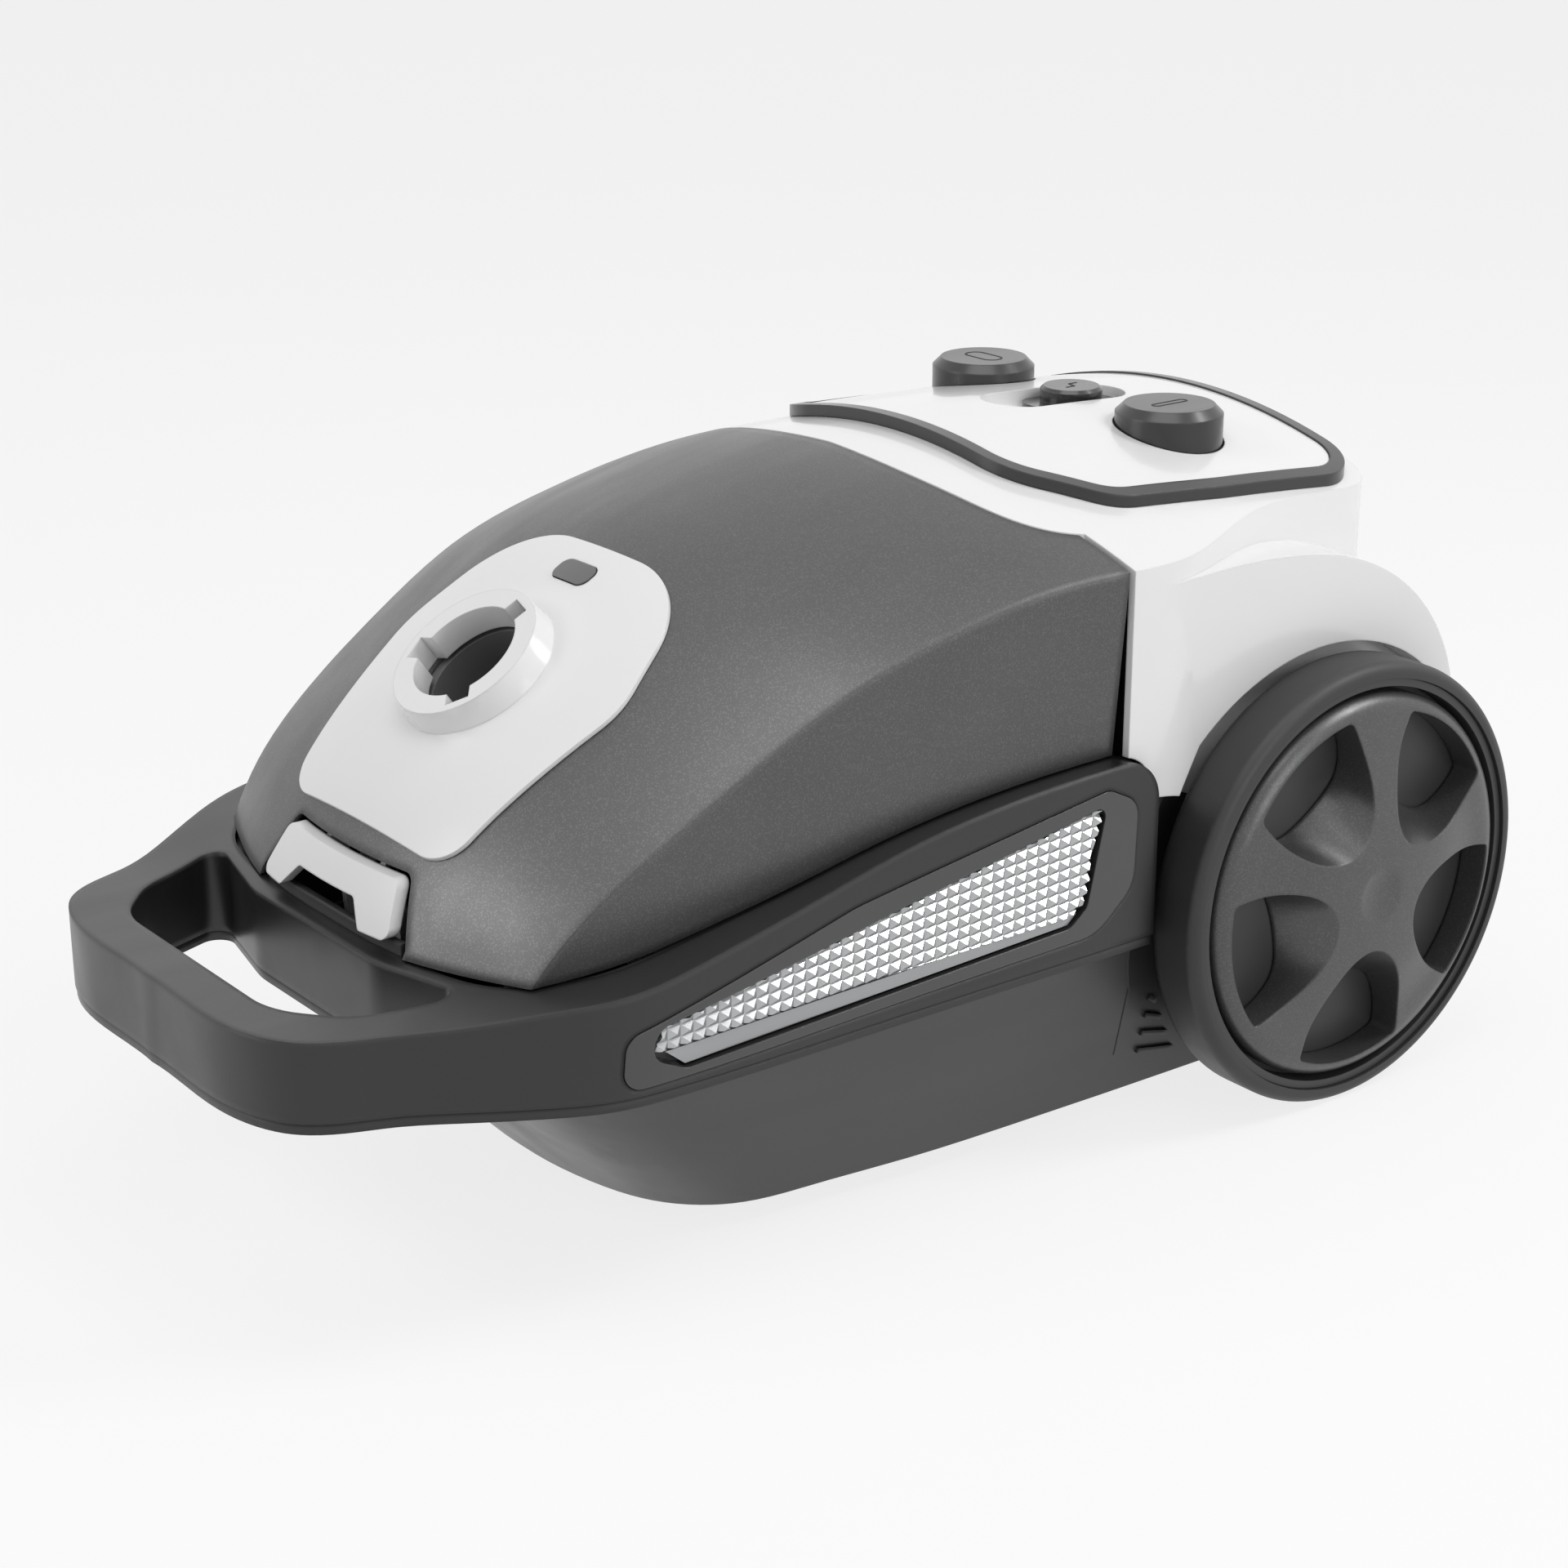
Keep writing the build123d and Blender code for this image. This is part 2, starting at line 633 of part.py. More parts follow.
# ---------------------------------------------------------------- tub
rim_drop = 3.0
rim_profile = [(y, z - rim_drop) for y, z in bumper_top]
under_split = profile_block([(y, z - seam / 2) for y, z in split_profile], base=0.0)
arch_outer = Part() + [
    rod(well_radius + wall, side * (well_wall_x - wall), side * 150, wheel_y, wheel_z)
    for side in (-1, 1)
]
arch_inner = Part() + [
    rod(well_radius, side * well_wall_x, side * 160, wheel_y, wheel_z) for side in (-1, 1)
]
tub_outer = tub_block()
tub_inner = tub_block(inset=wall, low=floor_gap + wall, high=170)
tub_top = Part() + [
    profile_block(rim_profile, base=0.0)
    & cut_block([(-160, -260), (160, bumper_rear_y)], 0, 200),
    under_split & cut_block([(-160, bumper_rear_y), (160, 270)], 0, 200),
    cut_block([(-44, -200), (44, -170)], 90, 119),
]
keeper_rear_y = keeper_front_y + keeper_depth
pocket_radius = caster_radius + caster_trail + 4
pocket_top = 2 * caster_radius + 9.0
grille_half, grille_low, grille_high = 58.0, 40.0, 104.0

with BuildPart() as tub:
    add(tub_outer)
    add(tub_inner, mode=Mode.SUBTRACT)
    add(tub_top, mode=Mode.INTERSECT)
    add(arch_outer & tub_outer & under_split)
    add(arch_inner, mode=Mode.SUBTRACT)
    add(post(pocket_radius + wall + gap, 0, caster_y, 0, 20), mode=Mode.SUBTRACT)
    add(cut_block([(-grille_half, 215), (grille_half, 260)], grille_low, grille_high),
        mode=Mode.SUBTRACT)
    for side in (-1, 1):
        add(rod(axle_radius + 5, side * (well_wall_x - 14), side * well_wall_x, wheel_y, wheel_z))
        add(rod(axle_radius, side * (well_wall_x - 12), side * 150, wheel_y, wheel_z),
            mode=Mode.SUBTRACT)
        add(side_plate([(-182, keeper_level - 2), (keeper_rear_y - 1, keeper_level - 2)], 2.5, 10,
                       side * keeper_cheek_x))
    add(cut_block([(-23, keeper_front_y), (23, keeper_rear_y)], keeper_level, keeper_level + 3))
save(tub.part, "lower_body")

with BuildPart() as gasket:
    add(plan_block(shrink_plan(tub_waist_plan, 0.3), 100, 150))
    add(plan_block(shrink_plan(tub_waist_plan, wall - 0.3), 99, 151), mode=Mode.SUBTRACT)
    add(profile_block([(y, z + 2.4) for y, z in rim_profile], base=0.0), mode=Mode.INTERSECT)
    add(profile_block(rim_profile, base=0.0), mode=Mode.SUBTRACT)
    add(cut_block([(-160, -170), (160, 58)], 60, 160), mode=Mode.INTERSECT)
save(gasket.part, "lid_gasket")

# ---------------------------------------------------------------- rear housing
shoulder = crowned_block(shoulder_profile, fall=shoulder_crown)
shoulder_inner = crowned_block(shoulder_profile, inset=wall, fall=shoulder_crown)
housing_outer = (skin & plan_block(neck_plan, 60, 270)) + (shoulder & flank)
housing_inner = (skin_inner & plan_block(shrink_plan(neck_plan, wall), 59, 271)) + (
    shoulder_inner & flank_inner
)
over_split = profile_block([(y, z + seam / 2) for y, z in split_profile], base=0.0)
pedal_holes = Part() + [
    post(pedal_radius + 0.7, side * pedal_x, pedal_y, 200, 270) for side in (-1, 1)
]


def slot_prism(grow):
    """Stadium along Y for the slider, grown by the given amount."""
    length = slot_rear_y - slot_front_y + 2 * grow
    with BuildPart() as prism:
        with BuildSketch(Plane.XY.offset(200)):
            with Locations((0, (slot_front_y + slot_rear_y) / 2)):
                SlotOverall(length, 2 * (slot_half + grow), rotation=90)
        extrude(amount=80)
    return prism.part


cord_x, cord_z = reel_x, 132.0
gland_radius = 9.0
bumper_room = outline_block(
    [(-100, 60), (bumper_rear_y + seam, 60), (bumper_rear_y + seam, 151.5 + seam),
     (-100, 151.5 + seam)],
    [0, 0, 16, 0], Plane.YZ.offset(-150), 300,
)
with BuildPart() as housing:
    add(housing_outer)
    add(front_of_housing_edge, mode=Mode.SUBTRACT)
    add(housing_inner, mode=Mode.SUBTRACT)
    add(arch_outer & housing_outer)
    add(over_split, mode=Mode.SUBTRACT)
    add(arch_inner, mode=Mode.SUBTRACT)
    add(pedal_holes, mode=Mode.SUBTRACT)
    add(slot_prism(1.8), mode=Mode.SUBTRACT)
    add(barrel(gland_radius + gap, cord_x, cord_z, 225, 262), mode=Mode.SUBTRACT)
    add(bumper_room, mode=Mode.SUBTRACT)
save(housing.part, "rear_housing")

# ---------------------------------------------------------------- control panel
panel_outline = mirrored(panel_plan)
panel_radii = panel_corner_radii + panel_corner_radii[::-1]
plate_drop = 0.7  # plate below the top of its band
panel_plane = Plane.XY.offset(190)
with BuildPart() as control_band:
    add(crowned_block(top_profile, inset=-band_height))
    add(outline_block(panel_outline, panel_radii, panel_plane, 90), mode=Mode.INTERSECT)
    add(outline_block(panel_outline, panel_radii, panel_plane, 90, -band_width),
        mode=Mode.SUBTRACT)
    add(seat, mode=Mode.SUBTRACT)
save(control_band.part, "control_band")

# Plate with the sunken tray of the slider moulded under its slot
tray_depth = slot_depth + plate_drop - band_height
slot_middle = (slot_front_y + slot_rear_y) / 2
with BuildPart() as control_panel:
    add(crowned_block(top_profile, inset=plate_drop - band_height))
    add(outline_block(panel_outline, panel_radii, panel_plane, 90, -band_width - seat_lift),
        mode=Mode.INTERSECT)
    add(seat, mode=Mode.SUBTRACT)
    add(pedal_holes, mode=Mode.SUBTRACT)
    add(slot_prism(1.5) & (crowned_block(top_profile, inset=-1) - crowned_block(
        top_profile, inset=tray_depth + 1.6)))
    add(slot_prism(0) - crowned_block(top_profile, inset=tray_depth), mode=Mode.SUBTRACT)
    with BuildSketch(Plane.XY.offset(200)):
        with Locations((0, slot_middle)):
            SlotOverall(slot_rear_y - slot_front_y - 18, 5, rotation=90)
    extrude(amount=60, mode=Mode.SUBTRACT)
save(control_panel.part, "control_panel")

slider_y = 145.0
slider_length = 41.0
knob_radius = 11.8
blade_half, blade_low = 6.0, 224.0
with BuildPart() as slider:
    with BuildSketch(Plane.XY.offset(200)):
        with Locations((0, slider_y)):
            SlotOverall(slider_length, 2 * slot_half - 2.4, rotation=90)
    extrude(amount=60)
    add(crowned_block(top_profile, inset=tray_depth - 2.2), mode=Mode.INTERSECT)
    add(crowned_block(top_profile, inset=tray_depth - 0.5), mode=Mode.SUBTRACT)
    with BuildSketch(Plane.XY.offset(244.2)):
        with Locations((0, slider_y)):
            Circle(knob_radius)
    extrude(amount=7)
    chamfer(faces().sort_by(Axis.Z)[-1].edges(), 1.2)
    add(cut_block([(-1.5, slider_y - blade_half), (1.5, slider_y + blade_half)], blade_low, 244.5))
save(slider.part, "suction_slider")

guide_level = 214.0
frame_top = guide_level + 3
with BuildPart() as slide_control:
    add(cut_block([(-8, slider_y - 30), (8, slider_y + 14)], frame_top + gap, 236))
    add(cut_block([(-2.4, slider_y - 27), (2.4, slider_y + 9)], 222, 240), mode=Mode.SUBTRACT)

# Pedals: caps on stems, each over its own coil spring
stem_bottom = 198.3
stem_radius = 4.5
pedal_roof = pedal_top_z - 5.5
skirt_z = pedal_top_z - 21.5
spring_radius, spring_wire = 10.7, 0.8
spring_height = pedal_roof - frame_top - 2 * (spring_wire + 0.1)
spring_pitch = spring_height / 9
for side, name in ((1, "power"), (-1, "rewind")):
    x = side * pedal_x
    with BuildPart() as pedal:
        with BuildSketch(Plane.XY.offset(skirt_z)):
            with Locations((x, pedal_y)):
                Circle(pedal_radius)
        extrude(amount=pedal_top_z - skirt_z)
        chamfer(faces().sort_by(Axis.Z)[-1].edges(), 3.2)
        add(post(pedal_radius - 2.2, x, pedal_y, skirt_z - 1, pedal_roof), mode=Mode.SUBTRACT)
        add(post(stem_radius, x, pedal_y, stem_bottom, pedal_roof + 1))
    save(pedal.part, name + "_pedal")
    with BuildPart() as coil:
        with BuildLine():
            path = Helix(spring_pitch, spring_height, spring_radius)
        with BuildSketch(Plane(origin=path @ 0, z_dir=path % 0)):
            Circle(spring_wire)
        sweep()
    save(Pos(x, pedal_y, frame_top + spring_wire + 0.1) * coil.part, name + "_spring")

with BuildPart() as switch_frame:
    add(cut_block([(-77, pedal_y - 26), (77, pedal_y + 20)], guide_level, frame_top))
    for side in (-1, 1):
        for x in (26, 73):
            for y in (pedal_y - 21, pedal_y + 16):
                add(post(3.4, side * x, y, guide_level, 260))
        add(post(8.5, side * pedal_x, pedal_y, guide_level - 4, frame_top + 8))
        add(post(stem_radius + run_gap, side * pedal_x, pedal_y, 200, 240), mode=Mode.SUBTRACT)
    for x in (26, 73):
        for y in (pedal_y - 21, pedal_y + 16):
            add(post(2.6, x, y, 178, guide_level))
    add(skin_inner_clear, mode=Mode.INTERSECT)
save(switch_frame.part, "switch_frame")

board_level = 176.0
with BuildPart() as control_board:
    add(cut_block([(20, pedal_y - 25), (79, pedal_y + 20)], board_level, board_level + 1.6))
    for x, y, low, high in ((32, 132, 1.6, 9), (68, 132, 1.6, 14), (32, 148, 1.6, 12)):
        add(cut_block([(x - 4, y - 4), (x + 4, y + 4)], board_level + low, board_level + high))
save(control_board.part, "control_board")

switch_top = 191.5
plunger_radius = 2.2
with BuildPart() as power_switch:
    add(cut_block([(pedal_x - 8, pedal_y - 6), (pedal_x + 8, pedal_y + 6)],
                  board_level + 1.8, switch_top))
    add(post(plunger_radius + 1.2, pedal_x, pedal_y, board_level + 3.4, switch_top - 1.6),
        mode=Mode.SUBTRACT)
    add(post(plunger_radius + run_gap, pedal_x, pedal_y, switch_top - 2, 200),
        mode=Mode.SUBTRACT)
save(power_switch.part + slide_control.part, "control_switches")

plunger = post(plunger_radius, pedal_x, pedal_y, 186, stem_bottom - 0.1) + post(
    plunger_radius + 0.9, pedal_x, pedal_y, 186, 187.5
)
save(plunger, "switch_plunger")

# ---------------------------------------------------------------- bulkhead and filter
body_room = tub_block(inset=wall + gap, low=floor_gap + wall, high=149) + (
    skin_inner_clear & flank_block(inset=wall + gap) & cut_block([(-160, 60), (160, 90)], 149, 260)
)
bulkhead_rear = bulkhead_y + bulkhead_thickness
eye_radius = 36.0
with BuildPart() as bulkhead:
    add(cut_block([(-160, bulkhead_y), (160, bulkhead_rear)], floor_gap + wall + gap, 260))
    add(body_room, mode=Mode.INTERSECT)
    for side in (-1, 1):
        for x in (hinge_arm_x - 5, hinge_arm_x + 5):
            add(side_plate([(hinge_y, hinge_z), (bulkhead_y + 1, hinge_z)], 4.8, 6.6, side * x)
                & cut_block([(-160, 50), (160, bulkhead_rear)], 200, 240))
    add(rod(hinge_pin_radius, -120, 120, hinge_y, hinge_z), mode=Mode.SUBTRACT)
    add(barrel(eye_radius, motor_x, motor_z, 60, 90), mode=Mode.SUBTRACT)
save(bulkhead.part, "motor_bulkhead")

hinge_pins = Part() + [
    rod(hinge_pin_radius, side * (hinge_arm_x - 7.4), side * (hinge_arm_x + 7.4), hinge_y, hinge_z)
    for side in (-1, 1)
]
save(hinge_pins, "hinge_pins")

filter_half = 56.0
tray_half = filter_half + 2
with BuildPart() as filter_frame:
    add(cut_block([(motor_x - tray_half, 55), (motor_x + tray_half, bulkhead_y - 0.2)],
                  motor_z - tray_half, motor_z + tray_half))
    add(cut_block([(motor_x - filter_half, 57.5), (motor_x + filter_half, bulkhead_y)],
                  motor_z - filter_half, motor_z + filter_half), mode=Mode.SUBTRACT)
    cell = 2 * filter_half / 5
    for row in range(5):
        for column in range(5):
            x = motor_x - filter_half + (column + 0.5) * cell
            z = motor_z - filter_half + (row + 0.5) * cell
            add(cut_block([(x - cell / 2 + 1.2, 50), (x + cell / 2 - 1.2, 60)],
                          z - cell / 2 + 1.2, z + cell / 2 - 1.2), mode=Mode.SUBTRACT)
save(filter_frame.part, "filter_frame")
motor_filter = cut_block(
    [(motor_x - filter_half + gap, 57.8), (motor_x + filter_half - gap, 69.5)],
    motor_z - filter_half + gap, motor_z + filter_half - gap,
)
save(motor_filter, "motor_filter")

# ---------------------------------------------------------------- motor and fan
motor_front, motor_rear = 92.0, 197.0
casing_inner = motor_radius - 3
with BuildPart() as motor_casing:
    add(barrel(motor_radius, motor_x, motor_z, motor_front, motor_rear))
    add(barrel(casing_inner, motor_x, motor_z, motor_front + 3, motor_rear + 1),
        mode=Mode.SUBTRACT)
    add(barrel(22, motor_x, motor_z, motor_front - 1, motor_front + 4), mode=Mode.SUBTRACT)
save(motor_casing.part, "motor_casing")


def vented_disc(radius, y0, y1, vent_ring, vent_radius):
    """Bearing plate: a disc with a shaft bore and a ring of six round vents."""
    with BuildPart() as disc:
        add(barrel(radius, motor_x, motor_z, y0, y1))
        add(barrel(10, motor_x, motor_z, y0 - 3, y1 + 3))
        add(barrel(shaft_radius + run_gap, motor_x, motor_z, y0 - 4, y1 + 4),
            mode=Mode.SUBTRACT)
        for turn in range(6):
            angle = radians(60 * turn)
            add(barrel(vent_radius, motor_x + vent_ring * cos(angle),
                       motor_z + vent_ring * sin(angle), y0 - 1, y1 + 1), mode=Mode.SUBTRACT)
    return disc.part


plate_y = 117.0
save(
    vented_disc(casing_inner - 0.2, plate_y, plate_y + 3, 33, 10)
    + vented_disc(motor_radius - 0.5, motor_rear + 0.2, motor_rear + 3.2, 30, 9),
    "motor_plates",
)

fan_front, fan_rear = 98.0, 111.0
fan_radius = 46.0
blades = 9
with BuildPart() as fan_rotor:
    add(barrel(shaft_radius, motor_x, motor_z, 95.5, 204))
    add(barrel(9, motor_x, motor_z, fan_front, fan_rear + 1))
    add(barrel(fan_radius, motor_x, motor_z, fan_rear - 1.5, fan_rear))
    add(barrel(fan_radius, motor_x, motor_z, fan_front, fan_front + 1.5)
        - barrel(24, motor_x, motor_z, fan_front - 1, fan_front + 3))
    for turn in range(blades):
        blade = Pos(motor_x, (fan_front + fan_rear) / 2, motor_z) * Rot(0, turn * 360 / blades, 0)
        blade = blade * Pos(26, 0, 8) * Rot(0, 20, 0)
        add(blade * Box(37, fan_rear - fan_front, 1.6, mode=Mode.PRIVATE))
    add(barrel(25, motor_x, motor_z, 130, 176))
    add(barrel(14, motor_x, motor_z, 178, 190))
save(fan_rotor.part, "fan_rotor")

with BuildPart() as stator:
    add(barrel(casing_inner - 0.2, motor_x, motor_z, 128, 178))
    add(cut_block([(motor_x - 38, 120), (motor_x + 38, 190)], motor_z - 60, motor_z + 60),
        mode=Mode.INTERSECT)
    add(barrel(26.5, motor_x, motor_z, 120, 190), mode=Mode.SUBTRACT)
    for side in (-1, 1):
        add(cut_block([(motor_x - 14, 120), (motor_x + 14, 190)],
                      motor_z + side * 33 - 4, motor_z + side * 33 + 4), mode=Mode.SUBTRACT)
save(stator.part, "motor_stator")

with BuildPart() as motor_seal:
    add(barrel(46, motor_x, motor_z, bulkhead_rear + 0.1, motor_front - 0.1))
    add(barrel(eye_radius + 1, motor_x, motor_z, bulkhead_rear, motor_front), mode=Mode.SUBTRACT)
save(motor_seal.part, "motor_seal")

tub_floor = floor_gap + wall
with BuildPart() as motor_cradle:
    for y in (104, 178):
        add(cut_block([(motor_x - 38, y), (motor_x + 38, y + 5)], tub_floor + gap, motor_z - 26))
    for side in (-1, 1):
        add(cut_block([(motor_x + side * 20 - 3, 104), (motor_x + side * 20 + 3, 183)],
                      tub_floor + gap, tub_floor + 12))
    add(barrel(motor_radius + gap, motor_x, motor_z, 90, 200), mode=Mode.SUBTRACT)
save(motor_cradle.part, "motor_cradle")

# ---------------------------------------------------------------- cord reel
reel_low, reel_high = reel_x - reel_width / 2, reel_x + reel_width / 2
with BuildPart() as cord_reel:
    add(rod(30, reel_low, reel_high, reel_y, reel_z))
    for x in (reel_low, reel_high - 2.5):
        add(rod(reel_radius, x, x + 2.5, reel_y, reel_z))
    add(rod(27.5, reel_low + 3, reel_high - 3, reel_y, reel_z)
        - rod(reel_axle_radius + 4, reel_low, reel_high, reel_y, reel_z), mode=Mode.SUBTRACT)
    add(rod(reel_axle_radius + run_gap, -200, 0, reel_y, reel_z), mode=Mode.SUBTRACT)
    for turn in range(6):
        angle = radians(60 * turn + 15)
        add(rod(12, reel_low - 1, reel_low + 2.6, reel_y + 48 * cos(angle),
                reel_z + 48 * sin(angle)), mode=Mode.SUBTRACT)
        add(rod(12, reel_high - 2.6, reel_high + 1, reel_y + 48 * cos(angle),
                reel_z + 48 * sin(angle)), mode=Mode.SUBTRACT)
save(cord_reel.part, "cord_reel")

brake_pivot = (128.0, 192.0)  # y, z
brake_pin_radius = 2.0
brake_x = -pedal_x
roller_y, roller_z = 112.0, 145.4
cheek_low, cheek_high = reel_low - 3.5, reel_high + 1.0
with BuildPart() as reel_frame:
    for x in (cheek_low + 1.25, cheek_high + 1.25):
        add(side_plate([(reel_y - 26, tub_floor - 8), (reel_y, reel_z),
                        (reel_y + 26, tub_floor - 8)], 2.5, 18, x, [(reel_y, reel_z, 16)]))
        add(side_plate([(reel_y, reel_z), (146, 168), brake_pivot], 2.5, 18, x,
                       [(*brake_pivot, 9)]))
    for y in (reel_y - 24, reel_y + 24):
        add(cut_block([(cheek_low, y - 9), (cheek_high + 2.5, y + 9)],
                      tub_floor + gap, tub_floor + gap + 3))
    add(rod(reel_axle_radius, -200, 0, reel_y, reel_z), mode=Mode.SUBTRACT)
    add(rod(brake_pin_radius, -200, 0, *brake_pivot), mode=Mode.SUBTRACT)
    add(cut_block([(-110, 90), (0, 220)], tub_floor + gap, 260), mode=Mode.INTERSECT)
save(reel_frame.part, "reel_frame")

with BuildPart() as spring_case:
    add(rod(28, cheek_low - 8.5, cheek_low - 0.3, reel_y, reel_z))
    add(rod(reel_axle_radius, -200, 0, reel_y, reel_z), mode=Mode.SUBTRACT)
save(spring_case.part, "rewind_spring_case")

with BuildPart() as reel_brake:
    add(side_plate([(150, 193.8), brake_pivot, (roller_y, roller_z)], 8, 7, brake_x,
                   [(*brake_pivot, 5.5)]))
    add(rod(4, brake_x - 5, reel_high - 0.5, roller_y, roller_z))
    add(rod(brake_pin_radius + run_gap, -200, 0, *brake_pivot), mode=Mode.SUBTRACT)
save(reel_brake.part, "reel_brake")
save(
    Part() + [
        rod(reel_axle_radius, cheek_low - 7, cheek_high + 2.5, reel_y, reel_z),
        rod(brake_pin_radius, cheek_low, cheek_high + 2.5, *brake_pivot),
    ],
    "reel_pins",
)

# ---------------------------------------------------------------- cord outlet and exhaust
shoulder_rear = shoulder_profile[8][0]
gland_flange = 1.6
with BuildPart() as cord_outlet:
    add(barrel(gland_radius, cord_x, cord_z, 232, shoulder_rear + gland_flange))
    add(barrel(gland_radius + 3, cord_x, cord_z, shoulder_rear, shoulder_rear + gland_flange))
    add(barrel(5, cord_x, cord_z, 225, 262), mode=Mode.SUBTRACT)
    chamfer(edges().filter_by(GeomType.CIRCLE).group_by(Axis.Y)[-1].sort_by(SortBy.RADIUS)[-1], 0.8)
save(cord_outlet.part, "cord_outlet")

grille_clear = cut_block([(gap - grille_half, 215), (grille_half - gap, 260)],
                         grille_low + gap, grille_high - gap)
with BuildPart() as exhaust_grille:
    add(tub_outer & grille_clear)
    add(tub_inner, mode=Mode.SUBTRACT)
    for row in range(9):
        z = grille_low + 6.5 + row * 6.4
        for x in (-27, 27):
            add(cut_block([(x - 23, 215), (x + 23, 260)], z - 1.6, z + 1.6), mode=Mode.SUBTRACT)
save(exhaust_grille.part, "exhaust_grille")

exhaust_filter = tub_block(inset=wall + gap) & cut_block(
    [(-20, 219), (54, 260)], grille_low + 4, grille_high - 2
)
save(exhaust_filter, "exhaust_filter")

# ---------------------------------------------------------------- caster
socket_top = pocket_top + 15
well_flange = 4.0  # rests on the floor of the tub
with BuildPart() as caster_socket:
    add(post(pocket_radius + wall, 0, caster_y, floor_gap, pocket_top + wall))
    add(post(pocket_radius + wall + well_flange, 0, caster_y, tub_floor, tub_floor + 2))
    add(post(caster_stem_radius + 4.6, 0, caster_y, pocket_top, socket_top))
    add(post(pocket_radius, 0, caster_y, 0, pocket_top), mode=Mode.SUBTRACT)
    add(post(caster_stem_radius + run_gap, 0, caster_y, 30, 90), mode=Mode.SUBTRACT)
save(caster_socket.part, "caster_socket")

wheel_axis_y = caster_y + caster_trail
cheek_x = caster_width / 2 + 1.7
with BuildPart() as caster_fork:
    add(post(caster_stem_radius, 0, caster_y, 42, socket_top - 1))
    add(post(13, 0, caster_y, 41.5, 45.5))
    for side in (-1, 1):
        add(side_plate([(caster_y, 40), (wheel_axis_y, caster_radius)], 2.8, 13,
                       side * (cheek_x + 1.4), [(wheel_axis_y, caster_radius, 7)])
            & cut_block([(-30, -100), (30, 0)], 0, 45.5))
    add(rod(3, -20, 20, wheel_axis_y, caster_radius), mode=Mode.SUBTRACT)
save(caster_fork.part, "caster_fork")
save(rod(3, -cheek_x - 2.8, cheek_x + 2.8, wheel_axis_y, caster_radius), "caster_axle")
with BuildPart() as caster_wheel:
    add(rod(caster_radius, -caster_width / 2, caster_width / 2, wheel_axis_y, caster_radius))
    fillet(edges().filter_by(GeomType.CIRCLE), 2.5)
    add(rod(3 + run_gap, -20, 20, wheel_axis_y, caster_radius), mode=Mode.SUBTRACT)
save(caster_wheel.part, "caster_wheel")

# ---------------------------------------------------------------- rear wheels
disc_x = 127.0
window_angle = 50.9  # first window, from +Y towards +Z
face_window = [(68, 22.8), (53, 26.0), (36, 27.3), (26, 20.5)]  # radius, half angle
floor_window = [(67.5, 22.4), (56, 26.0), (44, 24.0), (38.5, 13)]


def window_sketch(outline, nose, x, middle, grow=0.0):
    """Rounded triangular window on the plane at x, its middle at the given angle."""
    def place(radius, angle):
        turn = radians(middle + angle)
        return wheel_y + radius * cos(turn), wheel_z + radius * sin(turn)

    top_radius = outline[0][0] + grow
    half = [(top_radius, outline[0][1] + degrees(grow / top_radius))] + [
        (radius, angle + degrees(grow / radius)) for radius, angle in outline[1:]
    ]
    with BuildSketch(Plane.YZ.offset(x)) as sketch:
        with BuildLine():
            side = [place(radius, angle) for radius, angle in half]
            other = [place(radius, -angle) for radius, angle in reversed(half)]
            Spline(*side, place(nose - grow, 0), *other)
            ThreePointArc(other[-1], place(top_radius + 0.5, 0), side[0])
        make_face()
        fillet(sketch.vertices(), 3)
    return sketch.sketch


def window_cutter(middle, grow=0.0):
    """Scooped opening from the hubcap's face down to the rim disc."""
    with BuildPart() as cutter:
        add(window_sketch(face_window, 21.5, wheel_face_x + hub_dome, middle, grow))
        add(window_sketch(floor_window, 37.0, disc_x + 3, middle, grow))
        loft()
    return cutter.part


def hub_solid(drop):
    """Domed disc under the hubcap's face, drop millimetres below it."""
    rim = hubcap_radius - drop
    face = wheel_face_x - drop
    with BuildPart() as dome:
        with BuildSketch(Plane.XY):
            with BuildLine():
                Polyline((face - 4.5, rim), (disc_x + 3.6, rim), (disc_x + 3.6, 0),
                         (face + hub_dome, 0))
                Spline((face + hub_dome, 0), (face + hub_dome * 0.93, 20),
                       (face + hub_dome * 0.66, 40), (face + hub_dome * 0.22, 60),
                       (face - 0.9, rim - 2.2), (face - 4.5, rim))
            make_face()
        revolve(axis=Axis.X)
    return Pos(0, wheel_y, wheel_z) * dome.part


windows = [window_angle + 72 * turn for turn in range(5)]
cutters = [window_cutter(middle) for middle in windows]
frames = [window_cutter(middle, 2.0) for middle in windows]
dome = hub_solid(0)
with BuildPart() as hubcap:
    add(dome)
    add(hub_solid(2.4), mode=Mode.SUBTRACT)
    for frame in frames:
        add(frame & dome)
    for cutter in cutters:
        add(cutter, mode=Mode.SUBTRACT)
    with Locations((wheel_face_x + hub_dome + 38.4, wheel_y, wheel_z)):
        Sphere(40, mode=Mode.SUBTRACT)

hub_low, hub_high = well_wall_x + 0.6, disc_x + 3
with BuildPart() as wheel_rim:
    add(rod(rim_radius, wheel_inner_x + 1, wheel_face_x - 2.5, wheel_y, wheel_z)
        - rod(rim_radius - 3, 100, 150, wheel_y, wheel_z))
    add(rod(rim_radius - 2, disc_x, disc_x + 3, wheel_y, wheel_z))
    add(rod(hub_radius, hub_low, hub_high, wheel_y, wheel_z))
    for turn in range(10):
        spoke = Pos((hub_low + 12 + disc_x) / 2, wheel_y, wheel_z) * Rot(36 * turn, 0, 0)
        add(spoke * Pos(0, 0, 45) * Box(disc_x - hub_low - 12, 2.2, 64, mode=Mode.PRIVATE))
    add(rod(axle_radius + run_gap, 90, 150, wheel_y, wheel_z), mode=Mode.SUBTRACT)

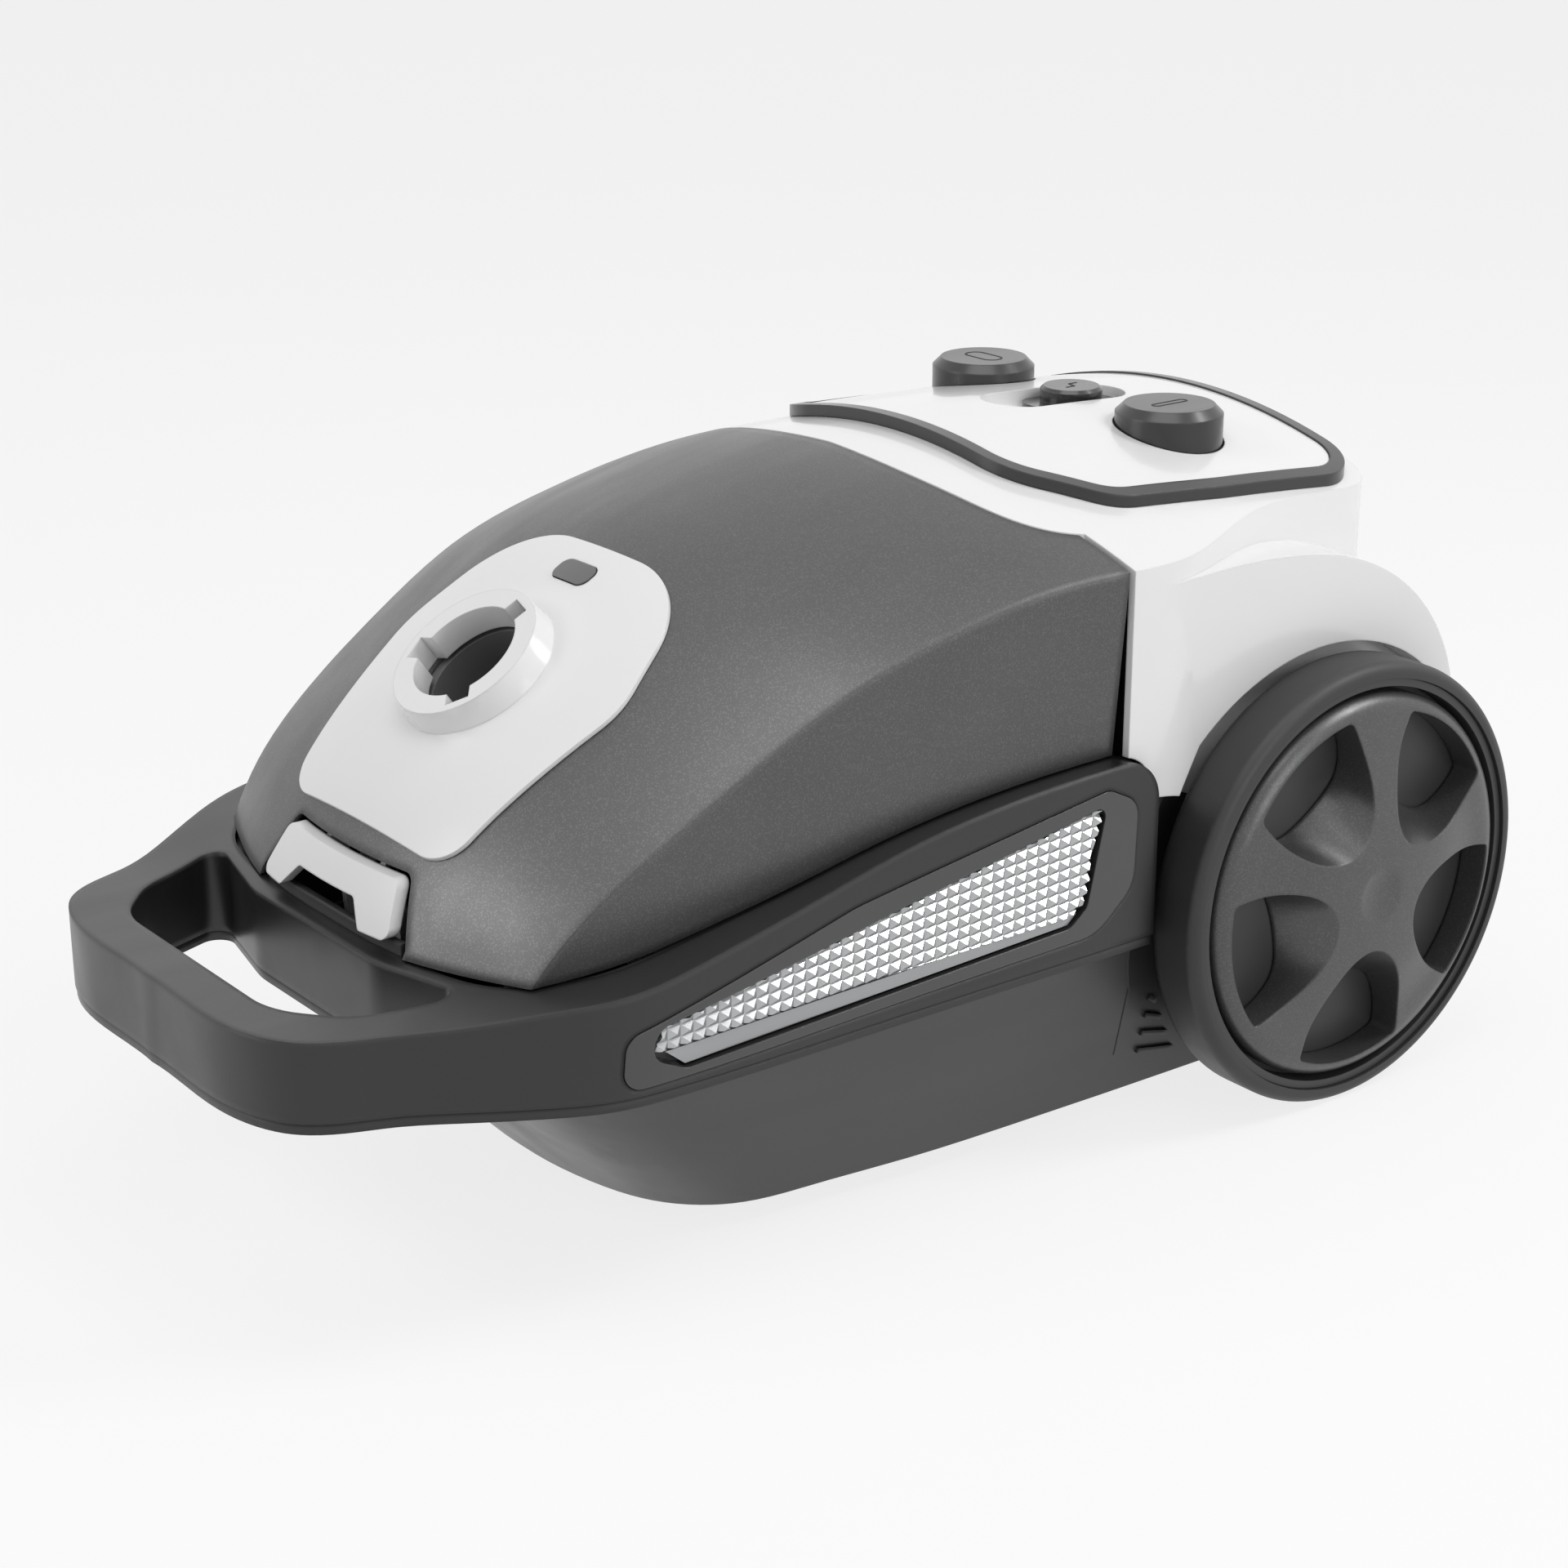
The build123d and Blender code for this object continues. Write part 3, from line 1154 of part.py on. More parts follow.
with BuildPart() as tyre:
    add(rod(wheel_radius, wheel_inner_x, wheel_face_x - 1, wheel_y, wheel_z))
    fillet(edges().filter_by(GeomType.CIRCLE), 4.5)
    add(rod(rim_radius + 0.15, 100, 150, wheel_y, wheel_z), mode=Mode.SUBTRACT)

axle = rod(axle_radius, well_wall_x - 12, hub_high - 0.5, wheel_y, wheel_z)
save(both_sides(axle), "wheel_axles")
for shape, name in ((hubcap.part, "hubcap"), (wheel_rim.part, "wheel_rim"), (tyre.part, "tyre")):
    save(shape.mirror(Plane.YZ), name + "_right")
    save(shape, name + "_left")

# ---------------------------------------------------------------- dust bag
collar_drop = -38.0
with BuildPart() as bag_collar:
    add(local_box(0, 0, collar_drop - 1.5, (92, 84, 3)))
    fillet(edges().filter_by(Axis((0, 0, 0), tuple(inlet_plane.z_dir)), tolerance=1e-3), 6)
    with BuildSketch(inlet_plane.offset(collar_drop + 1)):
        Circle(inlet_radius)
    extrude(amount=-6, mode=Mode.SUBTRACT)
save(bag_collar.part, "bag_collar")

holder_drop = collar_drop - 3.3
with BuildPart() as bag_holder:
    add(local_box(0, 0, holder_drop - 1.5, (150, 92, 3)))
    add(local_box(0, 0, holder_drop, (96, 62, 8)), mode=Mode.SUBTRACT)
    for side in (-1, 1):
        add(cut_block([(side * 71, -71), (side * 75, -61)], tub_floor + gap, 190)
            - inlet_plane * Pos(0, 0, holder_drop + 30) * Box(200, 200, 60, mode=Mode.PRIVATE))
save(bag_holder.part, "bag_holder")

with BuildPart() as dust_bag:
    add(cut_block([(-69, -82), (69, 50)], 66, 142))
    fillet(edges().filter_by(Axis.Z), 22)
    fillet(faces().sort_by(Axis.Z)[-1].edges(), 14)
    fillet(faces().sort_by(Axis.Z)[0].edges(), 10)
    with BuildSketch(inlet_plane.offset(collar_drop - 3 - gap)):
        Circle(26)
    extrude(amount=-48)
save(dust_bag.part, "dust_bag")
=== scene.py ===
import json
import logging
import math
from dataclasses import dataclass, field
from enum import Enum

import bmesh
import bpy
from mathutils import Matrix, Vector, noise
from mathutils.bvhtree import BVHTree


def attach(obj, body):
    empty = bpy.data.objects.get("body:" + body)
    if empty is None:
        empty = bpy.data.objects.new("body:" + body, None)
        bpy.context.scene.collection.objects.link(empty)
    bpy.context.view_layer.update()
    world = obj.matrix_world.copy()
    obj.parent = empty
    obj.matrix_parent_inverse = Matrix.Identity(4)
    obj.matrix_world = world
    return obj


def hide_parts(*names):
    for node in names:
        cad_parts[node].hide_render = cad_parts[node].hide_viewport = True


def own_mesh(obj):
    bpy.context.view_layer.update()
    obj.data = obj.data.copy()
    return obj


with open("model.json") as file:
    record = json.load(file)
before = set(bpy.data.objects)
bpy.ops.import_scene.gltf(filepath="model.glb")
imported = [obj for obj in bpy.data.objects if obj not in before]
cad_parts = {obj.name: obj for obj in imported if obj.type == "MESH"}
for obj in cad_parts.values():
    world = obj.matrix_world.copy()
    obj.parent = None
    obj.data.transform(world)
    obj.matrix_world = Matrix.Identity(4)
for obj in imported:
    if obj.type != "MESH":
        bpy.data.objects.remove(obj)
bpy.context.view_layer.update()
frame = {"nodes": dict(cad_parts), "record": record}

logging.basicConfig(level=logging.INFO, format="%(levelname)s %(message)s")
log = logging.getLogger("canister")

MM = 0.001
MASK_SPAN = (0.3, 0.7)
FLAKE_COLOR = (0.62, 0.62, 0.64, 1.0)
GRAIN_RISE = 0.0002
FIBRE_RISE = 0.0012
BEVEL_SAMPLES = 4
CLEAR_IOR = 1.49
# Painted shade on the lens facets: the dark colour, the normal direction and the span that darken
# facets facing down.
FACET_PAINTED_SHADE_COLOR = (0.02, 0.02, 0.022, 1.0)
FACET_PAINTED_SHADE_DIRECTION = (0.0, 0.5, -0.87)
FACET_PAINTED_SHADE_SPAN = (-0.35, 0.4)


# ------------------------------------------------------------------ shared shader groups
class Effect(Enum):
    """Surface effects that several finishes share."""

    GRAIN = "moulded grain"
    FLECK = "metallic fleck"
    HANDLING = "handling marks"
    WEAVE = "felted fibres"


class EffectLibrary:
    """Builds each shared node group once and hands it out by name."""

    def __init__(self) -> None:
        """Start with no groups built."""
        self.groups: dict[Effect, bpy.types.ShaderNodeTree] = {}

    def get(self, effect: Effect) -> bpy.types.ShaderNodeTree:
        """Return the node group of an effect, building it the first time.

        Args:
            effect: Which shared effect is wanted.

        Returns:
            The shader node group.
        """
        if effect not in self.groups:
            makers = {
                Effect.GRAIN: self._grain,
                Effect.FLECK: self._fleck,
                Effect.HANDLING: self._handling,
                Effect.WEAVE: self._weave,
            }
            self.groups[effect] = makers[effect]()
            log.info("effect %s built", effect.value)
        return self.groups[effect]

    @staticmethod
    def _shell(name: str, inputs: dict[str, float], outputs: list[str]) -> tuple:
        """Make an empty group with float inputs and outputs.

        Args:
            name: Name of the group.
            inputs: Input names with their default values.
            outputs: Output names.

        Returns:
            The tree, its input node, its output node and its Object coordinates.
        """
        tree = bpy.data.node_groups.new(name, "ShaderNodeTree")
        for key, value in inputs.items():
            socket = tree.interface.new_socket(key, in_out="INPUT", socket_type="NodeSocketFloat")
            socket.default_value = value
        for key in outputs:
            tree.interface.new_socket(key, in_out="OUTPUT", socket_type="NodeSocketFloat")
        start = tree.nodes.new("NodeGroupInput")
        end = tree.nodes.new("NodeGroupOutput")
        place = tree.nodes.new("ShaderNodeTexCoord")
        return tree, start, end, place.outputs["Object"]

    def _grain(self) -> bpy.types.ShaderNodeTree:
        """Build the fine pebbled texture of a moulded surface.

        Returns:
            The group, which puts out a height.
        """
        tree, start, end, place = self._shell(
            "moulded_grain", {"Scale": 900.0, "Depth": 0.5}, ["Height"]
        )
        cells = tree.nodes.new("ShaderNodeTexVoronoi")
        cells.feature = "SMOOTH_F1"
        tree.links.new(place, cells.inputs["Vector"])
        tree.links.new(start.outputs["Scale"], cells.inputs["Scale"])
        lift = tree.nodes.new("ShaderNodeMath")
        lift.operation = "MULTIPLY"
        tree.links.new(cells.outputs["Distance"], lift.inputs[0])
        tree.links.new(start.outputs["Depth"], lift.inputs[1])
        tree.links.new(lift.outputs[0], end.inputs["Height"])
        return tree

    def _fleck(self) -> bpy.types.ShaderNodeTree:
        """Build the bright specks of metallic paint.

        Returns:
            The group, which puts out a mask of single flakes.
        """
        tree, start, end, place = self._shell(
            "metallic_fleck", {"Scale": 2600.0, "Share": 0.8}, ["Mask"]
        )
        cells = tree.nodes.new("ShaderNodeTexVoronoi")
        tree.links.new(place, cells.inputs["Vector"])
        tree.links.new(start.outputs["Scale"], cells.inputs["Scale"])
        split = tree.nodes.new("ShaderNodeSeparateColor")
        tree.links.new(cells.outputs["Color"], split.inputs["Color"])
        pick = tree.nodes.new("ShaderNodeMath")
        pick.operation = "GREATER_THAN"
        tree.links.new(split.outputs["Red"], pick.inputs[0])
        tree.links.new(start.outputs["Share"], pick.inputs[1])
        tree.links.new(pick.outputs[0], end.inputs["Mask"])
        return tree

    def _handling(self) -> bpy.types.ShaderNodeTree:
        """Build the faint smears and rubbed streaks of use.

        Returns:
            The group, which puts out a slow mask and a streaky mask.
        """
        tree, start, end, place = self._shell(
            "handling_marks", {"Scale": 14.0, "Streak": 5.0}, ["Smear", "Scuff"]
        )
        smear = tree.nodes.new("ShaderNodeTexNoise")
        smear.inputs["Detail"].default_value = 5.0
        smear.inputs["Distortion"].default_value = 0.6
        tree.links.new(place, smear.inputs["Vector"])
        tree.links.new(start.outputs["Scale"], smear.inputs["Scale"])
        stretch = tree.nodes.new("ShaderNodeMapping")
        stretch.inputs["Scale"].default_value = (9.0, 1.0, 9.0)
        tree.links.new(place, stretch.inputs["Vector"])
        scuff = tree.nodes.new("ShaderNodeTexNoise")
        scuff.inputs["Detail"].default_value = 8.0
        tree.links.new(stretch.outputs["Vector"], scuff.inputs["Vector"])
        tree.links.new(start.outputs["Streak"], scuff.inputs["Scale"])
        tree.links.new(smear.outputs["Fac"], end.inputs["Smear"])
        tree.links.new(scuff.outputs["Fac"], end.inputs["Scuff"])
        return tree

    def _weave(self) -> bpy.types.ShaderNodeTree:
        """Build the felted fibres of filter cloth and foam.

        Returns:
            The group, which puts out a height.
        """
        tree, start, end, place = self._shell(
            "felted_fibres", {"Scale": 260.0, "Cross": 3.0}, ["Height"]
        )
        turn = tree.nodes.new("ShaderNodeMapping")
        turn.inputs["Rotation"].default_value = (0.4, 0.7, 0.2)
        turn.inputs["Scale"].default_value = (1.0, 3.2, 1.0)
        tree.links.new(place, turn.inputs["Vector"])
        fibres = tree.nodes.new("ShaderNodeTexNoise")
        fibres.inputs["Detail"].default_value = 6.0
        tree.links.new(turn.outputs["Vector"], fibres.inputs["Vector"])
        tree.links.new(start.outputs["Scale"], fibres.inputs["Scale"])
        tree.links.new(start.outputs["Cross"], fibres.inputs["Distortion"])
        tree.links.new(fibres.outputs["Fac"], end.inputs["Height"])
        return tree


# ------------------------------------------------------------------ finishes
@dataclass(frozen=True)
class Finish:
    """One surface finish: colour, gloss and the texture that carries it.

    Lengths are in millimetres. A finish has either moulded grain or fibres.
    """

    name: str
    color: tuple[float, float, float]
    roughness: float = 0.4
    metallic: float = 0.0
    coat: float = 0.0
    coat_roughness: float = 0.08
    grain_scale: float = 1100.0
    grain_depth: float = 0.08
    fleck: float = 0.0
    fibres: float = 0.0
    smear: float = 0.05
    edge: float = 0.5
    clear: float = 0.0
    # Strength of the painted shade on down-facing facets.
    painted_facet_shade: float = 0.0

    def build(self, effects: EffectLibrary) -> bpy.types.Material:
        """Make the node material of this finish.

        Args:
            effects: Library of the shared node groups.

        Returns:
            The finished material.
        """
        material = bpy.data.materials.new(self.name)
        material.use_nodes = True
        tree = material.node_tree
        shader = tree.nodes["Principled BSDF"]
        shader.inputs["Metallic"].default_value = self.metallic
        shader.inputs["Coat Weight"].default_value = self.coat
        shader.inputs["Coat Roughness"].default_value = self.coat_roughness
        marks = self._group(tree, effects, Effect.HANDLING)
        shade = self._tint(tree, marks.outputs["Smear"])
        if self.fleck:
            shade = self._flecked(tree, effects, shade)
        # Paint shade on the facets that face down.
        if self.painted_facet_shade:
            shade = self._painted_facet_shade(tree, shade)
        tree.links.new(shade, shader.inputs["Base Color"])
        tree.links.new(self._gloss(tree, marks.outputs["Scuff"]), shader.inputs["Roughness"])
        tree.links.new(self._relief(tree, effects), shader.inputs["Normal"])
        if self.clear:
            shader.inputs["Transmission Weight"].default_value = self.clear
            shader.inputs["IOR"].default_value = CLEAR_IOR
        return material

    @staticmethod
    def _group(
        tree: bpy.types.ShaderNodeTree, effects: EffectLibrary, effect: Effect
    ) -> bpy.types.ShaderNode:
        """Place a shared group in a material.

        Args:
            tree: The material's nodes.
            effects: Library of the shared node groups.
            effect: Which effect to place.

        Returns:
            The group's node.
        """
        node = tree.nodes.new("ShaderNodeGroup")
        node.node_tree = effects.get(effect)
        return node

    def _tint(
        self, tree: bpy.types.ShaderNodeTree, mask: bpy.types.NodeSocket
    ) -> bpy.types.NodeSocket:
        """Vary the base colour slightly with a slow mask.

        Args:
            tree: The material's nodes.
            mask: The slow mask.

        Returns:
            The colour.
        """
        ramp = tree.nodes.new("ShaderNodeValToRGB")
        low = [max(channel * (1.0 - self.smear), 0.0) for channel in self.color]
        high = [min(channel * (1.0 + self.smear), 1.0) for channel in self.color]
        for stop, position, tone in zip(ramp.color_ramp.elements, MASK_SPAN, (low, high)):
            stop.position = position
            stop.color = (*tone, 1.0)
        tree.links.new(mask, ramp.inputs["Fac"])
        return ramp.outputs["Color"]

    def _flecked(
        self, tree: bpy.types.ShaderNodeTree, effects: EffectLibrary,
        shade: bpy.types.NodeSocket,
    ) -> bpy.types.NodeSocket:
        """Scatter brighter flakes over the colour.

        Args:
            tree: The material's nodes.
            effects: Library of the shared node groups.
            shade: The colour so far.

        Returns:
            The colour with its flakes.
        """
        flakes = self._group(tree, effects, Effect.FLECK)
        amount = tree.nodes.new("ShaderNodeMath")
        amount.operation = "MULTIPLY"
        amount.inputs[1].default_value = self.fleck
        tree.links.new(flakes.outputs["Mask"], amount.inputs[0])
        mix = tree.nodes.new("ShaderNodeMix")
        mix.data_type = "RGBA"
        mix.inputs["B"].default_value = FLAKE_COLOR
        tree.links.new(amount.outputs[0], mix.inputs["Factor"])
        tree.links.new(shade, mix.inputs["A"])
        return mix.outputs["Result"]

    def _painted_facet_shade(
        self, tree: bpy.types.ShaderNodeTree, shade: bpy.types.NodeSocket
    ) -> bpy.types.NodeSocket:
        """Paint shade on the facets that face down, darkening each by its object-space normal.

        Args:
            tree: The material's nodes.
            shade: The colour so far.

        Returns:
            The colour with its dark facets.
        """
        facing = tree.nodes.new("ShaderNodeTexCoord")
        downward = tree.nodes.new("ShaderNodeVectorMath")
        downward.operation = "DOT_PRODUCT"
        downward.inputs[1].default_value = FACET_PAINTED_SHADE_DIRECTION
        tree.links.new(facing.outputs["Normal"], downward.inputs[0])
        spread = tree.nodes.new("ShaderNodeMapRange")
        spread.inputs["From Min"].default_value = FACET_PAINTED_SHADE_SPAN[0]
        spread.inputs["From Max"].default_value = FACET_PAINTED_SHADE_SPAN[1]
        spread.inputs["To Max"].default_value = self.painted_facet_shade
        tree.links.new(downward.outputs["Value"], spread.inputs["Value"])
        mix = tree.nodes.new("ShaderNodeMix")
        mix.data_type = "RGBA"
        mix.inputs["B"].default_value = FACET_PAINTED_SHADE_COLOR
        tree.links.new(spread.outputs["Result"], mix.inputs["Factor"])
        tree.links.new(shade, mix.inputs["A"])
        return mix.outputs["Result"]

    def _gloss(
        self, tree: bpy.types.ShaderNodeTree, mask: bpy.types.NodeSocket
    ) -> bpy.types.NodeSocket:
        """Vary the roughness around its value with the scuff mask.

        Args:
            tree: The material's nodes.
            mask: The scuff mask.

        Returns:
            The roughness.
        """
        spread = tree.nodes.new("ShaderNodeMapRange")
        spread.inputs["From Min"].default_value = MASK_SPAN[0]
        spread.inputs["From Max"].default_value = MASK_SPAN[1]
        spread.inputs["To Min"].default_value = max(self.roughness * 0.88, 0.02)
        spread.inputs["To Max"].default_value = min(self.roughness * 1.15 + 0.01, 1.0)
        tree.links.new(mask, spread.inputs["Value"])
        return spread.outputs["Result"]

    def _relief(
        self, tree: bpy.types.ShaderNodeTree, effects: EffectLibrary
    ) -> bpy.types.NodeSocket:
        """Combine the surface texture with softened edges.

        Args:
            tree: The material's nodes.
            effects: Library of the shared node groups.

        Returns:
            The normal.
        """
        texture = self._group(tree, effects, Effect.WEAVE if self.fibres else Effect.GRAIN)
        texture.inputs["Scale"].default_value = self.grain_scale
        bump = tree.nodes.new("ShaderNodeBump")
        bump.inputs["Strength"].default_value = max(self.grain_depth, self.fibres)
        bump.inputs["Distance"].default_value = FIBRE_RISE if self.fibres else GRAIN_RISE
        tree.links.new(texture.outputs["Height"], bump.inputs["Height"])
        if self.edge:
            rounded = tree.nodes.new("ShaderNodeBevel")
            rounded.samples = BEVEL_SAMPLES
            rounded.inputs["Radius"].default_value = self.edge * MM
            tree.links.new(rounded.outputs["Normal"], bump.inputs["Normal"])
        return bump.outputs["Normal"]


FINISHES = {
    finish.name: finish
    for finish in (
        Finish("lid_metallic", (0.098, 0.098, 0.1), roughness=0.4, metallic=0.78, coat=0.2,
               coat_roughness=0.3, grain_depth=0.03, fleck=0.06, edge=4.5),
        Finish("white_gloss", (0.83, 0.83, 0.83), roughness=0.22, metallic=0.0, coat=0.5,
               coat_roughness=0.05, grain_depth=0.02, smear=0.012, edge=0.8),
        Finish("grey_plastic", (0.17, 0.17, 0.175), roughness=0.42, grain_depth=0.15),
        Finish("seal_rubber", (0.02, 0.02, 0.02), roughness=0.7, grain_depth=0.2),
        Finish("clear_window", (0.05, 0.05, 0.055), roughness=0.08, metallic=0.0, coat=0.8,
               coat_roughness=0.03, grain_depth=0.01),
        Finish("flag_red", (0.5, 0.02, 0.015), roughness=0.4),
        Finish("steel", (0.46, 0.46, 0.47), roughness=0.3, metallic=1.0, grain_scale=2400.0,
               edge=0.2),
        Finish("bumper_black", (0.01, 0.01, 0.011), roughness=0.34, metallic=0.0, coat=0.2,
               coat_roughness=0.25, grain_depth=0.1, edge=3.2),
        Finish("bezel_black", (0.03, 0.03, 0.031), roughness=0.2, metallic=0.0, coat=0.6,
               coat_roughness=0.08, grain_depth=0.03, edge=0.8),
        # The clear lens gets painted shade on its down-facing facets.
        Finish("clear_lens", (0.6, 0.615, 0.625), roughness=0.12, metallic=0.3, coat=1.0,
               coat_roughness=0.04, grain_depth=0.02, smear=0.01, edge=0.0, clear=0.12,
               painted_facet_shade=0.93),
        Finish("body_grey", (0.044, 0.044, 0.046), roughness=0.38, metallic=0.0, coat=0.15,
               coat_roughness=0.3, grain_depth=0.1, edge=1.5),
        Finish("band_dark", (0.014, 0.014, 0.015), roughness=0.3, metallic=0.0, coat=0.3,
               coat_roughness=0.2, grain_depth=0.06, edge=1.2),
        Finish("slider_black", (0.014, 0.014, 0.015), roughness=0.26, metallic=0.0, coat=0.4,
               coat_roughness=0.1, grain_depth=0.04),
        Finish("black_plastic", (0.02, 0.02, 0.021), roughness=0.5, grain_depth=0.3),
        Finish("board_green", (0.02, 0.11, 0.05), roughness=0.35, metallic=0.0, coat=0.3),
        Finish("foam", (0.05, 0.05, 0.052), roughness=0.95, grain_scale=900.0, fibres=0.8,
               edge=0.0),
        Finish("motor_steel", (0.4, 0.4, 0.41), roughness=0.36, metallic=1.0, grain_scale=1800.0),
        Finish("rotor_metal", (0.56, 0.56, 0.57), roughness=0.32, metallic=1.0),
        Finish("stator_iron", (0.12, 0.11, 0.1), roughness=0.5, metallic=0.8),
        Finish("caster_rubber", (0.03, 0.03, 0.03), roughness=0.62, grain_depth=0.3),
        Finish("card", (0.34, 0.25, 0.15), roughness=0.85, grain_scale=600.0, fibres=0.3,
               edge=0.3),
        Finish("bag_fabric", (0.62, 0.6, 0.54), roughness=0.92, grain_scale=700.0, fibres=0.6,
               smear=0.06, edge=0.0),
        Finish("hubcap_grey", (0.082, 0.082, 0.084), roughness=0.34, metallic=0.5, coat=0.25,
               coat_roughness=0.3, grain_depth=0.04, fleck=0.05, edge=1.6),
        Finish("rim_grey", (0.05, 0.05, 0.052), roughness=0.45, metallic=0.2, grain_depth=0.15),
        Finish("tyre_black", (0.022, 0.022, 0.0225), roughness=0.5, metallic=0.0, coat=0.1,
               coat_roughness=0.4, grain_scale=1600.0, grain_depth=0.3),
        Finish("mark_grey", (0.008, 0.008, 0.009), roughness=0.6),
    )
}


class FinishShelf:
    """Keeps each material that has been built from its finish."""

    def __init__(self) -> None:
        """Start with an empty shelf and a fresh effect library."""
        self.effects = EffectLibrary()
        self.made: dict[str, bpy.types.Material] = {}

    def get(self, name: str) -> bpy.types.Material:
        """Return the material of a finish, built once.

        Args:
            name: Name of the finish.

        Returns:
            The material.
        """
        if name not in self.made:
            self.made[name] = FINISHES[name].build(self.effects)
        return self.made[name]


# ------------------------------------------------------------------ mesh helpers
def add_piece(
    name: str, form: bmesh.types.BMesh, material: bpy.types.Material, body: str
) -> bpy.types.Object:
    """Turn a bmesh into a piece that rides on a body.

    Args:
        name: Name of the piece.
        form: The mesh, in metres, in the shared frame.
        material: Its material.
        body: The body that it moves with.

    Returns:
        The new object.
    """
    mesh = bpy.data.meshes.new(name)
    form.to_mesh(mesh)
    form.free()
    mesh.materials.append(material)
    piece = bpy.data.objects.new(name, mesh)
    bpy.context.scene.collection.objects.link(piece)
    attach(piece, body)
    log.info("%s: %d faces on %s", name, len(mesh.polygons), body)
    return piece


def shade_by_angle(form: bmesh.types.BMesh, degrees: float) -> None:
    """Smooth every face and mark the edges sharper than the angle.

    Args:
        form: The mesh to shade.
        degrees: Smallest angle of a sharp edge.
    """
    limit = math.radians(degrees)
    for face in form.faces:
        face.smooth = True
    for edge in form.edges:
        edge.smooth = len(edge.link_faces) == 2 and edge.calc_face_angle(0.0) < limit


@dataclass
class CarriedShells:
    """CAD nodes whose shape is right: merged, smoothed and given their finish."""

    shelf: FinishShelf
    replaced: set[str] = field(default_factory=set)
    springs: dict[str, str] = field(
        default_factory=lambda: {"power_spring": "power_press", "rewind_spring": "rewind_press"}
    )
    spring_travel: float = 4.5
    merge: float = 0.00001
    crease: float = 24.0

    def bodies(self) -> dict[str, str]:
        """Return the body that each node moves with."""
        groups = frame["record"]["behaviour"]["bodies"]
        return {node: body for body, nodes in groups.items() for node in nodes}

    def build(self) -> None:
        """Make a smooth copy of every node that no other piece replaces."""
        bodies = self.bodies()
        slots = {part["node"]: part["material_slot"] for part in frame["record"]["subparts"]}
        for node, source in frame["nodes"].items():
            if node in self.replaced:
                continue
            form = bmesh.new()
            form.from_mesh(source.data)
            form.transform(source.matrix_world)
            bmesh.ops.remove_doubles(form, verts=form.verts, dist=self.merge)
            bmesh.ops.dissolve_degenerate(form, dist=self.merge, edges=form.edges)
            shade_by_angle(form, self.crease)
            piece = add_piece(
                f"{node}_form", form, self.shelf.get(slots[node]), bodies[node]
            )
            weighted = piece.modifiers.new("even shading", "WEIGHTED_NORMAL")
            weighted.keep_sharp = True
            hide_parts(node)
            if node in self.springs:
                self.shorten(piece)

    def shorten(self, piece: bpy.types.Object) -> None:
        """Give a coil spring's piece its own copy of its mesh; it is not shortened here.

        Args:
            piece: The spring's piece.
        """
        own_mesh(piece)


